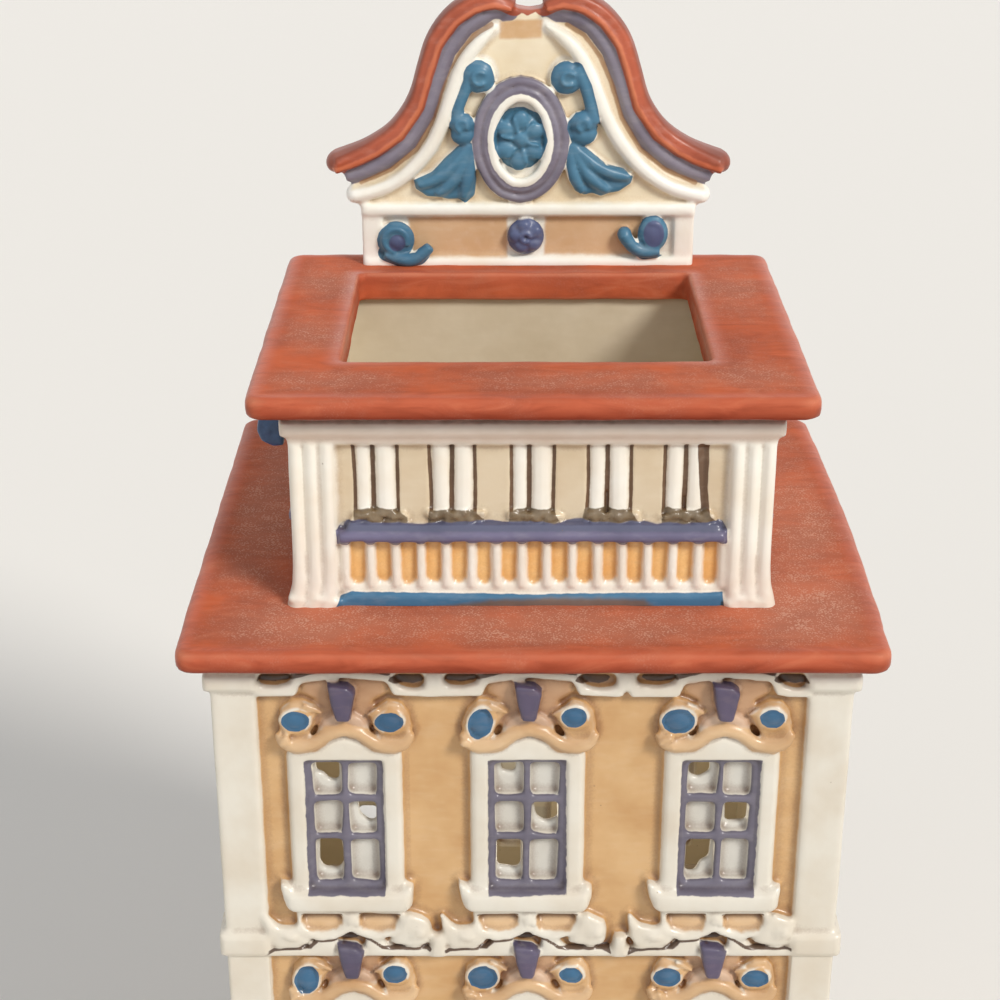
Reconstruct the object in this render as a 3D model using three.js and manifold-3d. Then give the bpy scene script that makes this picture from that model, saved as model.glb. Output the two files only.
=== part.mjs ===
// A ceramic house luminary: a hollow baroque town house, 207 mm tall, with a tea light on its floor.
// Walls cast with their relief are butted at the corners. Two roof collars leave an opening for the warm
// air, and a curved gable stands on the upper roof behind that opening. A doorway at the rear takes the
// tea light. Millimetres, +Z up. The front looks towards -Y, and the origin is the middle of the
// footprint on the table.
import * as THREE from "three";
import { mergeVertices } from "three/addons/utils/BufferGeometryUtils.js";
import Module from "manifold-3d";

const wasm = await Module();
wasm.setup();

// House body.
const bodyWidth = 87; // over the corner pilasters
const bodyDepth = 76.4;
const wallThickness = 4; // from the coloured field of a wall to its inner face
const floorThickness = 5;
const plinthHeight = 6.4;
const eaveHeight = 130; // underside of the lower roof
const storeyPitch = 41.2;
const firstSill = 9.8; // top of the lowest window sill
const pilasterWidth = 6.2;
const pilasterRelief = 1.2;
const corniceRelief = 1; // string courses and cornice beyond the pilasters
const frontBays = [-25.8, 0, 25.8];
const sideBays = [-16.4, 16.4];

// Roofs, attic storey and gable.
const lowerRoof = { width: 95, depth: 84.4, thickness: 3.2, corner: 2.5, soften: 1.1 };
const upperRoof = { width: 74.8, depth: 64, thickness: 3.2, corner: 3, soften: 1.2 };
const roofOpening = { width: 50, depth: 39, middle: 2.4, rim: 4.4 };
const attic = { width: 66.4, depth: 56, height: 28.8, wall: 4, relief: 1.4 };
const gable = { front: 26.8, thickness: 4, foot: 51.1, coping: 3, lap: 1.6 };

// Windows, measured from the top of their sill.
const paneWidth = 3.9;
const muntin = 1;
const paneRows = [
  { foot: 1.6, head: 9 },
  { foot: 10, head: 15 },
  { foot: 16.35, head: 21.2 },
];
const latticeSize = { width: 2 * paneWidth + 3 * muntin, height: 21.8, thickness: 0.9, play: 0.15 };
const surround = { width: 15.5, relief: 1.3, head: 22.2 };

// Tea light.
const teaLight = { radius: 19, height: 15.5, wall: 0.5, wax: 12, middle: 4, sides: 20 };

// Colours of the painted bisque and of the tea light.
const colours = {
  white: 0xf1ebe0,
  tan: 0xdcb27a,
  cream: 0xe6d0a6,
  red: 0xb4583c,
  purple: 0x6d6480,
  blue: 0x3f6d93,
  brown: 0x7a5238,
  aluminium: 0xc9ccd0,
  wax: 0xf4efe2,
};

const fieldFront = bodyDepth / 2 - pilasterRelief; // from the middle to the front wall's coloured field
const fieldSide = bodyWidth / 2 - pilasterRelief;
const innerDepth = fieldFront - wallThickness;
const innerWidth = fieldSide - wallThickness;
const courseRelief = pilasterRelief + corniceRelief;
const lowerRoofTop = eaveHeight + lowerRoof.thickness;
const atticTop = lowerRoofTop + attic.height;
const upperRoofTop = atticTop + upperRoof.thickness;
const atticFieldFront = attic.depth / 2 - attic.relief;
const atticFieldSide = attic.width / 2 - attic.relief;
const atticInner = { x: atticFieldSide - attic.wall, y: atticFieldFront - attic.wall };
const sills = [0, 1, 2].map((storey) => firstSill + storey * storeyPitch);

// A closed geometry as a solid that can be joined and cut.
function solid(geometry) {
  const bare = geometry.index ? geometry.toNonIndexed() : geometry.clone();
  bare.deleteAttribute("normal");
  bare.deleteAttribute("uv");
  const merged = mergeVertices(bare, 1e-4);
  const vertProperties = merged.attributes.position.array;
  const triVerts = new Uint32Array(merged.index.array);
  return new wasm.Manifold(new wasm.Mesh({ numProp: 3, vertProperties, triVerts }));
}

function joined(solids) {
  return solids.reduce((whole, piece) => whole.add(piece));
}

function cutFrom(whole, solids) {
  return solids.reduce((left, piece) => left.subtract(piece), whole);
}

// A solid as a named, coloured mesh in its group.
function addPiece(group, name, made, colour, finish = { roughness: 0.7, metalness: 0 }) {
  const { vertProperties, triVerts } = made.getMesh();
  const geometry = new THREE.BufferGeometry();
  geometry.setAttribute("position", new THREE.BufferAttribute(vertProperties, 3));
  geometry.setIndex(new THREE.BufferAttribute(triVerts, 1));
  geometry.computeVertexNormals();
  const mesh = new THREE.Mesh(geometry, new THREE.MeshStandardMaterial({ color: colour, ...finish }));
  mesh.name = name;
  group.add(mesh);
}

// A box between two corners. Its faces lie exactly at the given values, so that boxes meet without slivers.
function block(x0, x1, y0, y1, z0, z1) {
  const low = new THREE.Vector3(Math.min(x0, x1), Math.min(y0, y1), Math.min(z0, z1));
  const high = new THREE.Vector3(Math.max(x0, x1), Math.max(y0, y1), Math.max(z0, z1));
  const box = new THREE.BoxGeometry(2, 2, 2);
  const corners = box.attributes.position;
  for (let i = 0; i < corners.count; i++) {
    const at = [corners.getX(i) < 0 ? low.x : high.x, corners.getY(i) < 0 ? low.y : high.y];
    corners.setXYZ(i, ...at, corners.getZ(i) < 0 ? low.z : high.z);
  }
  return solid(box);
}

function shapeOf(points) {
  return new THREE.Shape(points.map(([x, z]) => new THREE.Vector2(x, z)));
}

const flipped = (points) => points.map(([x, z]) => [-x, z]);

// A symmetrical outline from its right half, listed from the foot upwards.
function mirrored(half) {
  const left = flipped(half.filter(([x]) => x > 0));
  return shapeOf([...half, ...left.reverse()]);
}

function arc(x, z, radiusX, radiusZ, from, to, steps) {
  return Array.from({ length: steps + 1 }, (_, i) => {
    const turn = from + ((to - from) * i) / steps;
    return [x + radiusX * Math.cos(turn), z + radiusZ * Math.sin(turn)];
  });
}

function oval(x, z, radiusX, radiusZ, sides) {
  return shapeOf(arc(x, z, radiusX, radiusZ, 0, 2 * Math.PI, sides).slice(1));
}

// A strip of even width along a smooth line through the given points.
function ribbon(points, width, steps) {
  const line = new THREE.SplineCurve(points.map(([x, z]) => new THREE.Vector2(x, z)));
  const edges = [[], []];
  for (let i = 0; i <= steps; i++) {
    const at = line.getPoint(i / steps);
    const along = line.getTangent(i / steps);
    const across = new THREE.Vector2(-along.y, along.x).multiplyScalar(width / 2);
    edges[0].push(at.clone().add(across));
    edges[1].push(at.clone().sub(across));
  }
  return new THREE.Shape([...edges[0], ...edges[1].reverse()]);
}

// Axes that stand a drawn outline upright in a wall's plane, its height up and its depth towards -y.
const upright = new THREE.Matrix4().makeBasis(
  new THREE.Vector3(1, 0, 0),
  new THREE.Vector3(0, 0, 1),
  new THREE.Vector3(0, -1, 0),
);

// Axes that run a drawn profile along x, its width towards -y and its height up.
const sideways = new THREE.Matrix4().makeBasis(
  new THREE.Vector3(0, 1, 0),
  new THREE.Vector3(0, 0, 1),
  new THREE.Vector3(1, 0, 0),
);

// An outline in a wall's plane, raised from its seat at depth y towards -y, its front edge softened.
// Relief that is fused with a wall keeps a like root behind its seat, and a piece of its own is cut flat.
function raised(shape, height, { soften = 0, x = 0, y = 0, z = 0, fused = false } = {}) {
  const relief = new THREE.ExtrudeGeometry(shape, {
    depth: height - soften,
    bevelEnabled: soften > 0,
    bevelThickness: soften,
    bevelSize: soften,
    bevelOffset: -soften,
    bevelSegments: 1,
    curveSegments: 4,
  });
  const made = solid(relief.applyMatrix4(upright).translate(x, y, z));
  if (!soften || fused) return made;
  const { min, max } = made.boundingBox();
  return made.subtract(block(min[0] - 1, max[0] + 1, y, y + 2 * soften, min[2] - 1, max[2] + 1));
}

// A moulding: a profile [depth, height] run along x from x0 to x1.
function moulding(profile, x0, x1) {
  const shape = new THREE.Shape(profile.map(([depth, z]) => new THREE.Vector2(-depth, z)));
  const run = new THREE.ExtrudeGeometry(shape, { depth: x1 - x0, bevelEnabled: false });
  return solid(run.applyMatrix4(sideways).translate(x0, 0, 0));
}

// In each wall's own frame x runs along the wall and y = 0 is its coloured field, with the outside at -y.

// One window's panes. Every other one is pierced, as on a chess board, and the rest stay blind pockets.
function panes(x, sill) {
  return paneRows.flatMap(({ foot, head }, row) =>
    [-1, 1].map((side) => {
      const middle = x + (side * (paneWidth + muntin)) / 2;
      return {
        x0: middle - paneWidth / 2,
        x1: middle + paneWidth / 2,
        z0: sill + foot,
        z1: sill + head,
        pierced: side < 0 === (row % 2 === 0),
      };
    }),
  );
}

function paneCuts(x, sill) {
  return panes(x, sill).map(({ x0, x1, z0, z1, pierced }) =>
    block(x0, x1, -surround.relief - 1, pierced ? wallThickness + 1 : 0, z0, z1),
  );
}

// White surround with a low arch at its head, and a sill with turned-up ends.
function windowFrame(x, sill, latticeSeat, soften) {
  const half = surround.width / 2;
  const arch = { half: 3.6, rise: 2 };
  const bench = { half: 9.1, drop: 2.7, horn: 1.8, relief: 2.6 };
  const head = arc(0, surround.head, arch.half, arch.rise, 0, Math.PI / 2, 2);
  const frame = mirrored([[half, -1], [half, surround.head], ...head]);
  const sillShape = mirrored([
    [bench.half - 0.9, -bench.drop],
    [bench.half, -1],
    [bench.half, bench.horn],
    [half, 0],
  ]);
  const inside = latticeSize.width / 2 + latticeSize.play;
  const mouth = -bench.relief - 1;
  const reveal = block(x - inside, x + inside, mouth, latticeSeat, sill, sill + latticeSize.height);
  return {
    adds: [
      raised(frame, surround.relief, { x, z: sill }),
      raised(sillShape, bench.relief, { soften, x, z: sill, fused: true }),
    ],
    cuts: [reveal, ...paneCuts(x, sill)],
  };
}

// Apron under a sill: two sunk panels either side of a rib, on the front between leaf brackets.
function apron(x, sill, withLeaves) {
  const plate = { half: 7.4, foot: -7.3, top: -2.4, relief: 1.2 };
  const sunk = { middle: 3.7, half: 2.7, foot: -7, head: -4.3, floor: 0.4 };
  const inner = plate.half - 0.4;
  const leaf = [[inner, plate.foot], [11.6, plate.foot], [10.6, -6.2], [9.4, -4.6], [inner, -3.6]];
  const leaves = withLeaves ? [leaf, flipped(leaf)] : [];
  return {
    adds: [
      block(x - plate.half, x + plate.half, -plate.relief, 0, sill + plate.foot, sill + plate.top),
      ...leaves.map((points) => raised(shapeOf(points), 2, { x, z: sill })),
    ],
    cuts: [-1, 1].map((side) => {
      const [x0, x1] = [-sunk.half, sunk.half].map((edge) => x + side * sunk.middle + edge);
      return block(x0, x1, -2 * plate.relief, -sunk.floor, sill + sunk.foot, sill + sunk.head);
    }),
  };
}

// Crest over a window: a rolled brow with a boss over each end. The front's are softened, on a field of
// their own.
const crestHead = 31.1;
const crestField = 0.8;
const boss = { x: 6.3, z: 27.8, radius: 2.7, relief: 1.7 };
const roundel = { radius: 1.8, relief: 2.2 };
function crest(x, sill, fine) {
  const halfBrow = [[1.5, 25.9], [3.4, 24.6], [5.6, 23.7], [9, 23.9]];
  const brow = [...flipped(halfBrow).reverse(), [0, 26.2], ...halfBrow];
  const at = { x, z: sill };
  const soft = { ...at, soften: fine ? 0.6 : 0 };
  const discs = ({ radius, relief }, sides, place) =>
    [-1, 1].map((side) => raised(oval(side * boss.x, boss.z, radius, radius, sides), relief, place));
  const pieces = [raised(ribbon(brow, 2.3, fine ? 10 : 8), 2.2, soft), ...discs(boss, 8, soft)];
  if (!fine) return joined(pieces);
  const field = mirrored([[7.4, 24.4], [6.4, 30], [2.4, crestHead]]);
  return joined([raised(field, crestField, at), ...pieces, ...discs(roundel, 6, at)]);
}

// Keystone over a crest, wider at its top, its head in the notch of the moulding above.
function keystone(x, sill, soften) {
  const stone = mirrored([[1.1, 27.8], [1.9, 32.9], [1.4, 33.5]]);
  return raised(stone, 2.2, { soften, x, z: sill });
}

// Moulding over a storey's windows: low between the bays, stepped up over each, notched for keystones.
function hoodCourse(bays, halfLength, foot, { low, high }) {
  const hood = { shoulder: 5.4, top: 4.6, notch: 2.4, notchHead: 2.4 };
  const under = bays.flatMap((x) => [
    [x - hood.notch, foot],
    [x - hood.notch, foot + hood.notchHead],
    [x + hood.notch, foot + hood.notchHead],
    [x + hood.notch, foot],
  ]);
  const over = [...bays].reverse().flatMap((x) => [
    [x + hood.shoulder, foot + low],
    [x + hood.top, foot + high],
    [x - hood.top, foot + high],
    [x - hood.shoulder, foot + low],
  ]);
  const right = [[halfLength, foot], [halfLength, foot + low]];
  const left = [[-halfLength, foot + low], [-halfLength, foot]];
  return raised(shapeOf([...under, ...right, ...over, ...left]), courseRelief - 0.2);
}

// The bare wall with its pilasters, plinth, courses and cornice. Only a wall that closes the corners
// carries them round.
function wallShell(length, bays, endPilaster, closesCorners) {
  const half = length / 2;
  const reach = closesCorners ? half + corniceRelief : half;
  const back = closesCorners ? wallThickness : 0;
  const capital = { lap: 0.6, foot: eaveHeight - 5.2 };
  const courseHood = { low: 1.5, high: 3 };
  const eaveHood = { low: 2.5, high: eaveHeight - capital.foot };
  const levels = sills.slice(1).map((sill) => [sill - 9.8, sill - 5.8]);
  levels.push([capital.foot, eaveHeight]);
  const parts = [
    block(-half, half, 0, wallThickness, 0, eaveHeight),
    block(-reach, reach, -courseRelief, back, 0, plinthHeight),
    block(-half, half, -pilasterRelief / 2, 0, capital.foot, eaveHeight),
  ];
  const inside = half - endPilaster;
  [-1, 1].forEach((side) => {
    parts.push(block(side * inside, side * half, -pilasterRelief, 0, 0, eaveHeight));
    levels.forEach((level) => {
      parts.push(block(side * (inside - capital.lap), side * reach, -courseRelief, back, ...level));
    });
  });
  levels.forEach(([foot], i) => {
    const hood = i < levels.length - 1 ? courseHood : eaveHood;
    parts.push(hoodCourse(bays, inside, foot, hood));
  });
  return parts;
}

// Front wall: three bays of windows, with the door in the middle of the ground floor.
const door = { half: 6.4, spring: 21.5, rise: 5.6, recess: 1.4, leaf: 1, foot: plinthHeight / 2 };
const doorStep = { half: 9.4, tread: 1.2 };

// An upright opening with an arched head, grown all round by a margin.
function archedOutline({ half, spring, rise }, grow, foot, steps) {
  const head = arc(0, spring, half + grow, rise + grow, 0, Math.PI / 2, steps);
  return mirrored([[half + grow, foot], ...head]);
}

function frontWall() {
  const parts = wallShell(bodyWidth, frontBays, pilasterWidth, true);
  const cuts = [];
  sills.forEach((sill, storey) => {
    frontBays.forEach((x) => {
      if (storey === 0 && x === 0) return;
      const frame = windowFrame(x, sill, 0, 0.5);
      const details = storey > 0 ? [frame, apron(x, sill, true)] : [frame];
      parts.push(...details.flatMap((detail) => detail.adds));
      cuts.push(...details.flatMap((detail) => detail.cuts));
    });
  });
  const architrave = archedOutline(door, 2.4, 0, 5);
  parts.push(raised(architrave, courseRelief - 0.4, { soften: 0.5, fused: true }));
  parts.push(block(-doorStep.half, doorStep.half, -courseRelief - doorStep.tread, 0, 0, door.foot));
  const recess = archedOutline(door, 0, door.foot, 5);
  cuts.push(raised(recess, 2 * courseRelief + door.recess, { y: door.recess }));
  return cutFrom(joined(parts), cuts);
}

function doorLeaf() {
  const play = 0.3;
  const leaf = raised(archedOutline(door, -play, door.foot + play, 5), door.leaf);
  const panel = { near: 0.9, far: 4.7 };
  const panels = [-1, 1].flatMap((side) =>
    [[6.5, 12.5], [14, 21]].map(([foot, head]) =>
      block(side * panel.near, side * panel.far, -2 * door.leaf, -door.leaf / 2, foot, head),
    ),
  );
  return cutFrom(leaf, panels);
}

// Rear wall: plainer windows above, and the arched doorway that the tea light goes through.
const doorway = { half: 21.5, spring: 20, rise: 14, frame: 2.6 };
const latticeFront = -latticeSize.thickness; // at the rear and sides the lattice is cast with the wall

function rearWall() {
  const parts = wallShell(bodyWidth, frontBays, pilasterWidth, true);
  const frames = sills.slice(1).flatMap((sill) =>
    frontBays.map((x) => windowFrame(x, sill, latticeFront, 0)),
  );
  parts.push(...frames.flatMap((frame) => frame.adds));
  const architrave = archedOutline(doorway, doorway.frame, 0, 7);
  parts.push(raised(architrave, courseRelief + 0.2, { soften: 0.5, fused: true }));
  const opening = archedOutline(doorway, 0, floorThickness, 7);
  const through = raised(opening, 3 * wallThickness, { y: 2 * wallThickness });
  return cutFrom(joined(parts), [through, ...frames.flatMap((frame) => frame.cuts)]);
}

// Side walls stand between the front and the rear wall, whose ends finish the corner pilasters.
const sidePilaster = pilasterWidth - wallThickness - pilasterRelief;
function sideWall() {
  const parts = wallShell(2 * innerDepth, sideBays, sidePilaster, false);
  const cuts = [];
  sills.forEach((sill, storey) => {
    sideBays.forEach((x) => {
      const frame = windowFrame(x, sill, latticeFront, 0);
      const details = storey > 0 ? [frame, apron(x, sill, false)] : [frame];
      parts.push(...details.flatMap((detail) => detail.adds));
      if (storey > 0) parts.push(crest(x, sill, false), keystone(x, sill, 0));
      cuts.push(...details.flatMap((detail) => detail.cuts));
    });
  });
  return cutFrom(joined(parts), cuts);
}

// Window lattice of the front, seated on the wall's field inside its surround.
function lattice() {
  const { width, height, thickness, play } = latticeSize;
  const frame = block(-width / 2, width / 2, -thickness, 0, play, height - play);
  const lights = panes(0, 0).map(({ x0, x1, z0, z1 }) => block(x0, x1, -2 * thickness, thickness, z0, z1));
  return cutFrom(frame, lights);
}

// A roof slab with rounded corners and edges.
function roundedSlab({ width, depth, thickness, corner, soften }, foot) {
  const [w, d] = [width / 2 - corner, depth / 2 - corner];
  const quarter = Math.PI / 2;
  const outline = new THREE.Shape();
  outline.absarc(w, d, corner, 0, quarter, false);
  outline.absarc(-w, d, corner, quarter, 2 * quarter, false);
  outline.absarc(-w, -d, corner, 2 * quarter, 3 * quarter, false);
  outline.absarc(w, -d, corner, 3 * quarter, 4 * quarter, false);
  const slab = new THREE.ExtrudeGeometry(outline, {
    depth: thickness - 2 * soften,
    bevelThickness: soften,
    bevelSize: soften,
    bevelOffset: -soften,
    bevelSegments: 2,
    curveSegments: 3,
  });
  return solid(slab.translate(0, 0, foot + soften));
}

function lowerRoofSolid() {
  const { x, y } = atticInner;
  return roundedSlab(lowerRoof, eaveHeight).subtract(block(-x, x, -y, y, eaveHeight - 1, lowerRoofTop + 1));
}

// The upper roof's rim hangs down inside the attic walls and keeps the roof in place.
function upperRoofSolid() {
  const play = 0.4;
  const { width, depth, middle, rim } = roofOpening;
  const [x, front, rear] = [width / 2, middle - depth / 2, middle + depth / 2];
  const inside = { x: atticInner.x - play, y: atticInner.y - play };
  const lip = block(-inside.x, inside.x, -inside.y, inside.y, upperRoofTop - rim, atticTop + 1);
  const hole = block(-x, x, front, rear, upperRoofTop - rim - 1, upperRoofTop + 1);
  return roundedSlab(upperRoof, atticTop).add(lip).subtract(hole);
}

// Attic storey, measured from the lower roof.
const atticHalf = attic.width / 2;
const atticPilaster = 6.5;
const atticCentre = atticHalf - atticPilaster - 1.1; // half the width between the reeded pilasters
const atticCornice = { foot: 23, bandFoot: 25, bandHead: 27.3, relief: 0.9 };

// Pilaster with three reeds, run upwards.
function reededPilaster(x) {
  const reed = atticPilaster / 6;
  const rise = reed / 2;
  const outline = new THREE.Shape();
  outline.moveTo(atticPilaster / 2, 0);
  outline.lineTo(-atticPilaster / 2, 0);
  [-1, 0, 1].forEach((step) => {
    outline.absellipse(step * 2 * reed, rise - attic.relief, reed, rise, Math.PI, 2 * Math.PI, false, 0);
  });
  const shape = { depth: attic.height, bevelEnabled: false, curveSegments: 5 };
  return solid(new THREE.ExtrudeGeometry(outline, shape).translate(x, 0, 0));
}

function atticShell(length, closesCorners) {
  const half = length / 2;
  const { foot, bandFoot, bandHead, relief } = atticCornice;
  const overhang = attic.relief + relief;
  const profile = [
    [0, foot],
    [attic.relief, foot],
    [overhang, bandFoot],
    [overhang, bandHead],
    [attic.relief, attic.height],
    [0, attic.height],
  ];
  const end = closesCorners ? half + relief : half;
  const spare = 1; // the cornice is run past the ends and cut to length
  const inset = closesCorners ? atticPilaster : atticPilaster - attic.wall - attic.relief;
  const parts = [
    block(-half, half, 0, attic.wall, 0, attic.height),
    moulding(profile, -end - spare, end + spare),
  ];
  const pastEnds = [];
  const deep = 2 * attic.wall;
  [-1, 1].forEach((side) => {
    const past = side * (end + spare);
    parts.push(block(side * (half - inset), side * half, -attic.relief / 2, 0, 0, attic.height));
    if (closesCorners) parts.push(block(side * half, past, -attic.relief, attic.wall, bandFoot, bandHead));
    pastEnds.push(block(side * end, past + side, -deep, deep, -spare, attic.height + spare));
  });
  return cutFrom(joined(parts), pastEnds);
}

// Front of the attic: a row of sunk panels below, and pairs of blind slots above the sill band.
const sunkPanels = { count: 15, pitch: 3.4, width: 2, foot: 2.7, head: 8.8, relief: 1, floor: 0.2 };
const slots = { bays: 5, pitch: 10.4, width: 2.4, rib: 0.7, foot: 13.3, head: 22.6, depth: 1.2 };
const atticSillFoot = 9.4;

function atticFront() {
  const parts = [atticShell(attic.width, true)];
  [-1, 1].forEach((side) => parts.push(reededPilaster(side * (atticHalf - atticPilaster / 2))));
  parts.push(block(-atticCentre, atticCentre, -sunkPanels.relief, 0, sunkPanels.foot - 1, atticSillFoot));
  const cuts = [];
  for (let i = 0; i < sunkPanels.count; i++) {
    const x = (i - (sunkPanels.count - 1) / 2) * sunkPanels.pitch;
    const half = sunkPanels.width / 2;
    const mouth = -2 * sunkPanels.relief;
    cuts.push(block(x - half, x + half, mouth, -sunkPanels.floor, sunkPanels.foot, sunkPanels.head));
  }
  for (let i = 0; i < slots.bays; i++) {
    const x = (i - (slots.bays - 1) / 2) * slots.pitch;
    [-1, 1].forEach((side) => {
      const near = x + (side * slots.rib) / 2;
      cuts.push(block(near, near + side * slots.width, -1, slots.depth, slots.foot, slots.head));
    });
  }
  return cutFrom(joined(parts), cuts);
}

// Sill band over the sunk panels: a sloping ledge that ends in a roll.
function atticSill() {
  const profile = [[0, 0], [1.8, 0.1], [2.3, 0.7], [2.2, 1.4], [1.6, 1.8], [0, 3.7]];
  return moulding(profile.map(([depth, z]) => [depth, atticSillFoot + z]), -atticCentre, atticCentre);
}

function atticBaseStrip() {
  const half = 26.5;
  return moulding([[0, 0], [2.2, 0], [2.1, 0.8], [1.4, 1.6], [0, 1.7]], -half, half);
}

// Scroll bracket under the overhang of the upper roof, measured from that roof's underside.
const bracket = {
  half: 2.2,
  y: -19,
  profile: [[0, -8], [1.4, -8.1], [2.8, -7.4], [3.5, -5.8], [3.4, -4], [2.6, -2.9], [0, -2.9]],
};

// Gable, measured from the upper roof. The coping's edge is the right half of its upper outline.
const copingEdge = [
  [30.5, 16.6], [29.3, 18.2], [23.6, 20], [19.4, 23.2], [17.1, 27.6], [16.2, 32.8],
  [14.3, 37], [11.2, 40.2], [7.2, 41.8], [3.4, 41.6], [1.3, 39.7],
];
const shoulder = [[gable.foot / 2, 0], [gable.foot / 2, 7.6], [27.3, 9.6], [27.3, 12.2], [28.4, 14.4]];
const copingCurve = new THREE.SplineCurve(copingEdge.map(([x, z]) => new THREE.Vector2(x, z)));
const copingSteps = 26;
const fieldSteps = [3, 20]; // between tip and notch, where the field's edge follows the coping
const notchFoot = [0, 39.4];
const fieldPeak = [0, 37.4];
const scroll = {
  line: [[27, 11], [22.3, 11.3], [16.8, 13.8], [12.2, 18.6], [10.2, 24.1], [8.2, 31.9], [4.3, 35.9]],
  width: 1.9,
  steps: 12,
};
const cartouche = { z: 19.8, ringX: 7.45, ringZ: 9.6, fieldX: 5.3, fieldZ: 7.4, field: 0.5 };

function copingOffset(distance, [first, last]) {
  return Array.from({ length: last - first + 1 }, (_, i) => {
    const at = copingCurve.getPoint((first + i) / copingSteps);
    const along = copingCurve.getTangent((first + i) / copingSteps);
    return [at.x - along.y * distance, at.y + along.x * distance];
  });
}

const gableOutline = mirrored([...shoulder, ...copingOffset(gable.coping, fieldSteps), fieldPeak]);

// Wall of the gable with its foot, its rail, its two scrolls and the cartouche's oval field.
function gableWall() {
  const half = gable.foot / 2;
  const play = 0.3;
  const rail = mirrored([[half, 7.4], [half + 1.4, 9], [half + 1.4, 10]]);
  const scrolls = [scroll.line, flipped(scroll.line)].map((line) =>
    raised(ribbon(line, scroll.width, scroll.steps), 1, { soften: 0.4, fused: true }),
  );
  return joined([
    raised(gableOutline, gable.thickness, { y: gable.thickness }),
    ...scrolls,
    raised(rail, 1.1),
    block(-half, half, -1, 0, 0, 2),
    raised(oval(0, cartouche.z, cartouche.fieldX - play, cartouche.fieldZ - play, 16), cartouche.field),
  ]);
}

// The coping laps over the gable's edge at front and back, and its two lobes meet in a notch.
function gableCoping() {
  const outer = mirrored([shoulder.at(-1), ...copingOffset(0, [0, copingSteps]), notchFoot]);
  const rear = gable.thickness + 0.6;
  const wide = 4 * gable.thickness;
  const within = raised(gableOutline, 2 * wide, { y: wide });
  return raised(outer, rear + gable.lap, { y: rear }).subtract(within);
}

function cartoucheRing() {
  const sides = 22;
  const ring = oval(0, cartouche.z, cartouche.ringX, cartouche.ringZ, sides);
  ring.holes = [oval(0, cartouche.z, cartouche.fieldX, cartouche.fieldZ, sides)];
  return raised(ring, 1.6, { soften: 0.5 });
}

// Round flower of overlapping lobes about a button.
function rosette(x, z, radius, petals, seat) {
  const lobe = 0.42 * radius;
  const middle = radius - lobe;
  const height = 1;
  const leaves = arc(x, z, middle, middle, 0, 2 * Math.PI, petals)
    .slice(1)
    .map(([px, pz]) => raised(oval(px, pz, lobe, lobe, 8), height, { y: -seat }));
  const button = raised(oval(x, z, middle, middle, 12), height + 0.4, { soften: 0.3, y: -seat });
  return joined([button, ...leaves]);
}

// Sprig beside the cartouche: a roundel, a stem, a bud and an acanthus leaf, kept clear of ring and
// scroll.
function sprig(side) {
  const on = (points) => (side > 0 ? points : flipped(points));
  const soften = 0.4;
  const leaf = [
    [7.8, 19.4], [10.5, 17.2], [14.2, 15.2], [16.6, 14.1],
    [15.2, 12.2], [11.4, 11.2], [8.6, 11.9], [7, 12.6],
  ];
  const parts = [
    raised(oval(side * 6.7, 28.9, 2, 2, 10), 1.4, { soften }),
    raised(ribbon(on([[7.2, 28], [8.6, 25], [9.2, 22]]), 1.3, 4), 0.9),
    raised(oval(side * 9.2, 21.3, 1.9, 2.1, 10), 1.4, { soften }),
    raised(ribbon(on([[9, 21], [8.8, 19.5], [9.3, 17.5]]), 1.6, 4), 1),
    raised(shapeOf(on(leaf)), 1.3, { soften }),
  ];
  const reach = 9;
  const play = 0.3;
  const ring = raised(oval(0, cartouche.z, cartouche.ringX + play, cartouche.ringZ + play, 22), reach);
  const roll = raised(ribbon(on(scroll.line), scroll.width + 2 * play, scroll.steps), reach);
  return cutFrom(joined(parts), [ring, roll]);
}

// Scroll at each end of the gable's base: a disc and a curling tail.
function baseScroll(side) {
  const tail = [[21.4, 3.4], [18.6, 2.9], [16.2, 3.1], [14.4, 4.2]].map(([x, z]) => [side * x, z]);
  const disc = oval(side * 19.9, 4.8, 2.5, 2.3, 10);
  return raised(disc, 1.2, { soften: 0.4 }).add(raised(ribbon(tail, 1, 6), 1));
}

// A tea light's parts are turned on their own axis.
function turned(profile, sides, z = 0) {
  const points = profile.map(([r, h]) => new THREE.Vector2(r, h + z));
  return solid(new THREE.LatheGeometry(points, sides).rotateX(Math.PI / 2));
}

function teaLightCup() {
  const { radius, height, wall, sides } = teaLight;
  const rim = radius + 0.4;
  const profile = [
    [0, 0],
    [radius - 1, 0],
    [radius, 1],
    [radius, height - 1],
    [rim, height - 0.8],
    [rim, height],
    [radius - wall, height],
    [radius - wall, 1.4],
    [radius - 1 - wall, wall],
    [0, wall],
  ];
  return turned(profile, sides);
}

const sustainer = { radius: 6, thickness: 0.4, collar: 1.3, height: 3, bore: 0.8 };
function wickSustainer() {
  const { radius, thickness, collar, height, bore } = sustainer;
  const profile = [
    [bore, 0],
    [radius, 0],
    [radius, thickness],
    [collar, thickness],
    [collar, height],
    [bore, height],
    [bore, 0],
  ];
  return turned(profile, 12, teaLight.wall);
}

function teaLightWax() {
  const { radius, wall, wax, sides } = teaLight;
  const play = 0.15;
  const outer = radius - wall - play;
  const bore = sustainer.collar + play;
  const recess = { radius: sustainer.radius + play, height: sustainer.thickness + play };
  const profile = [
    [bore, wax],
    [bore, recess.height],
    [recess.radius, recess.height],
    [recess.radius, 0],
    [outer - 1, 0],
    [outer, 1.2],
    [outer, wax - 0.4],
    [outer - 1.2, wax - 0.9],
    [sustainer.radius, wax],
    [bore, wax],
  ];
  return turned(profile, sides, wall);
}

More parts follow.
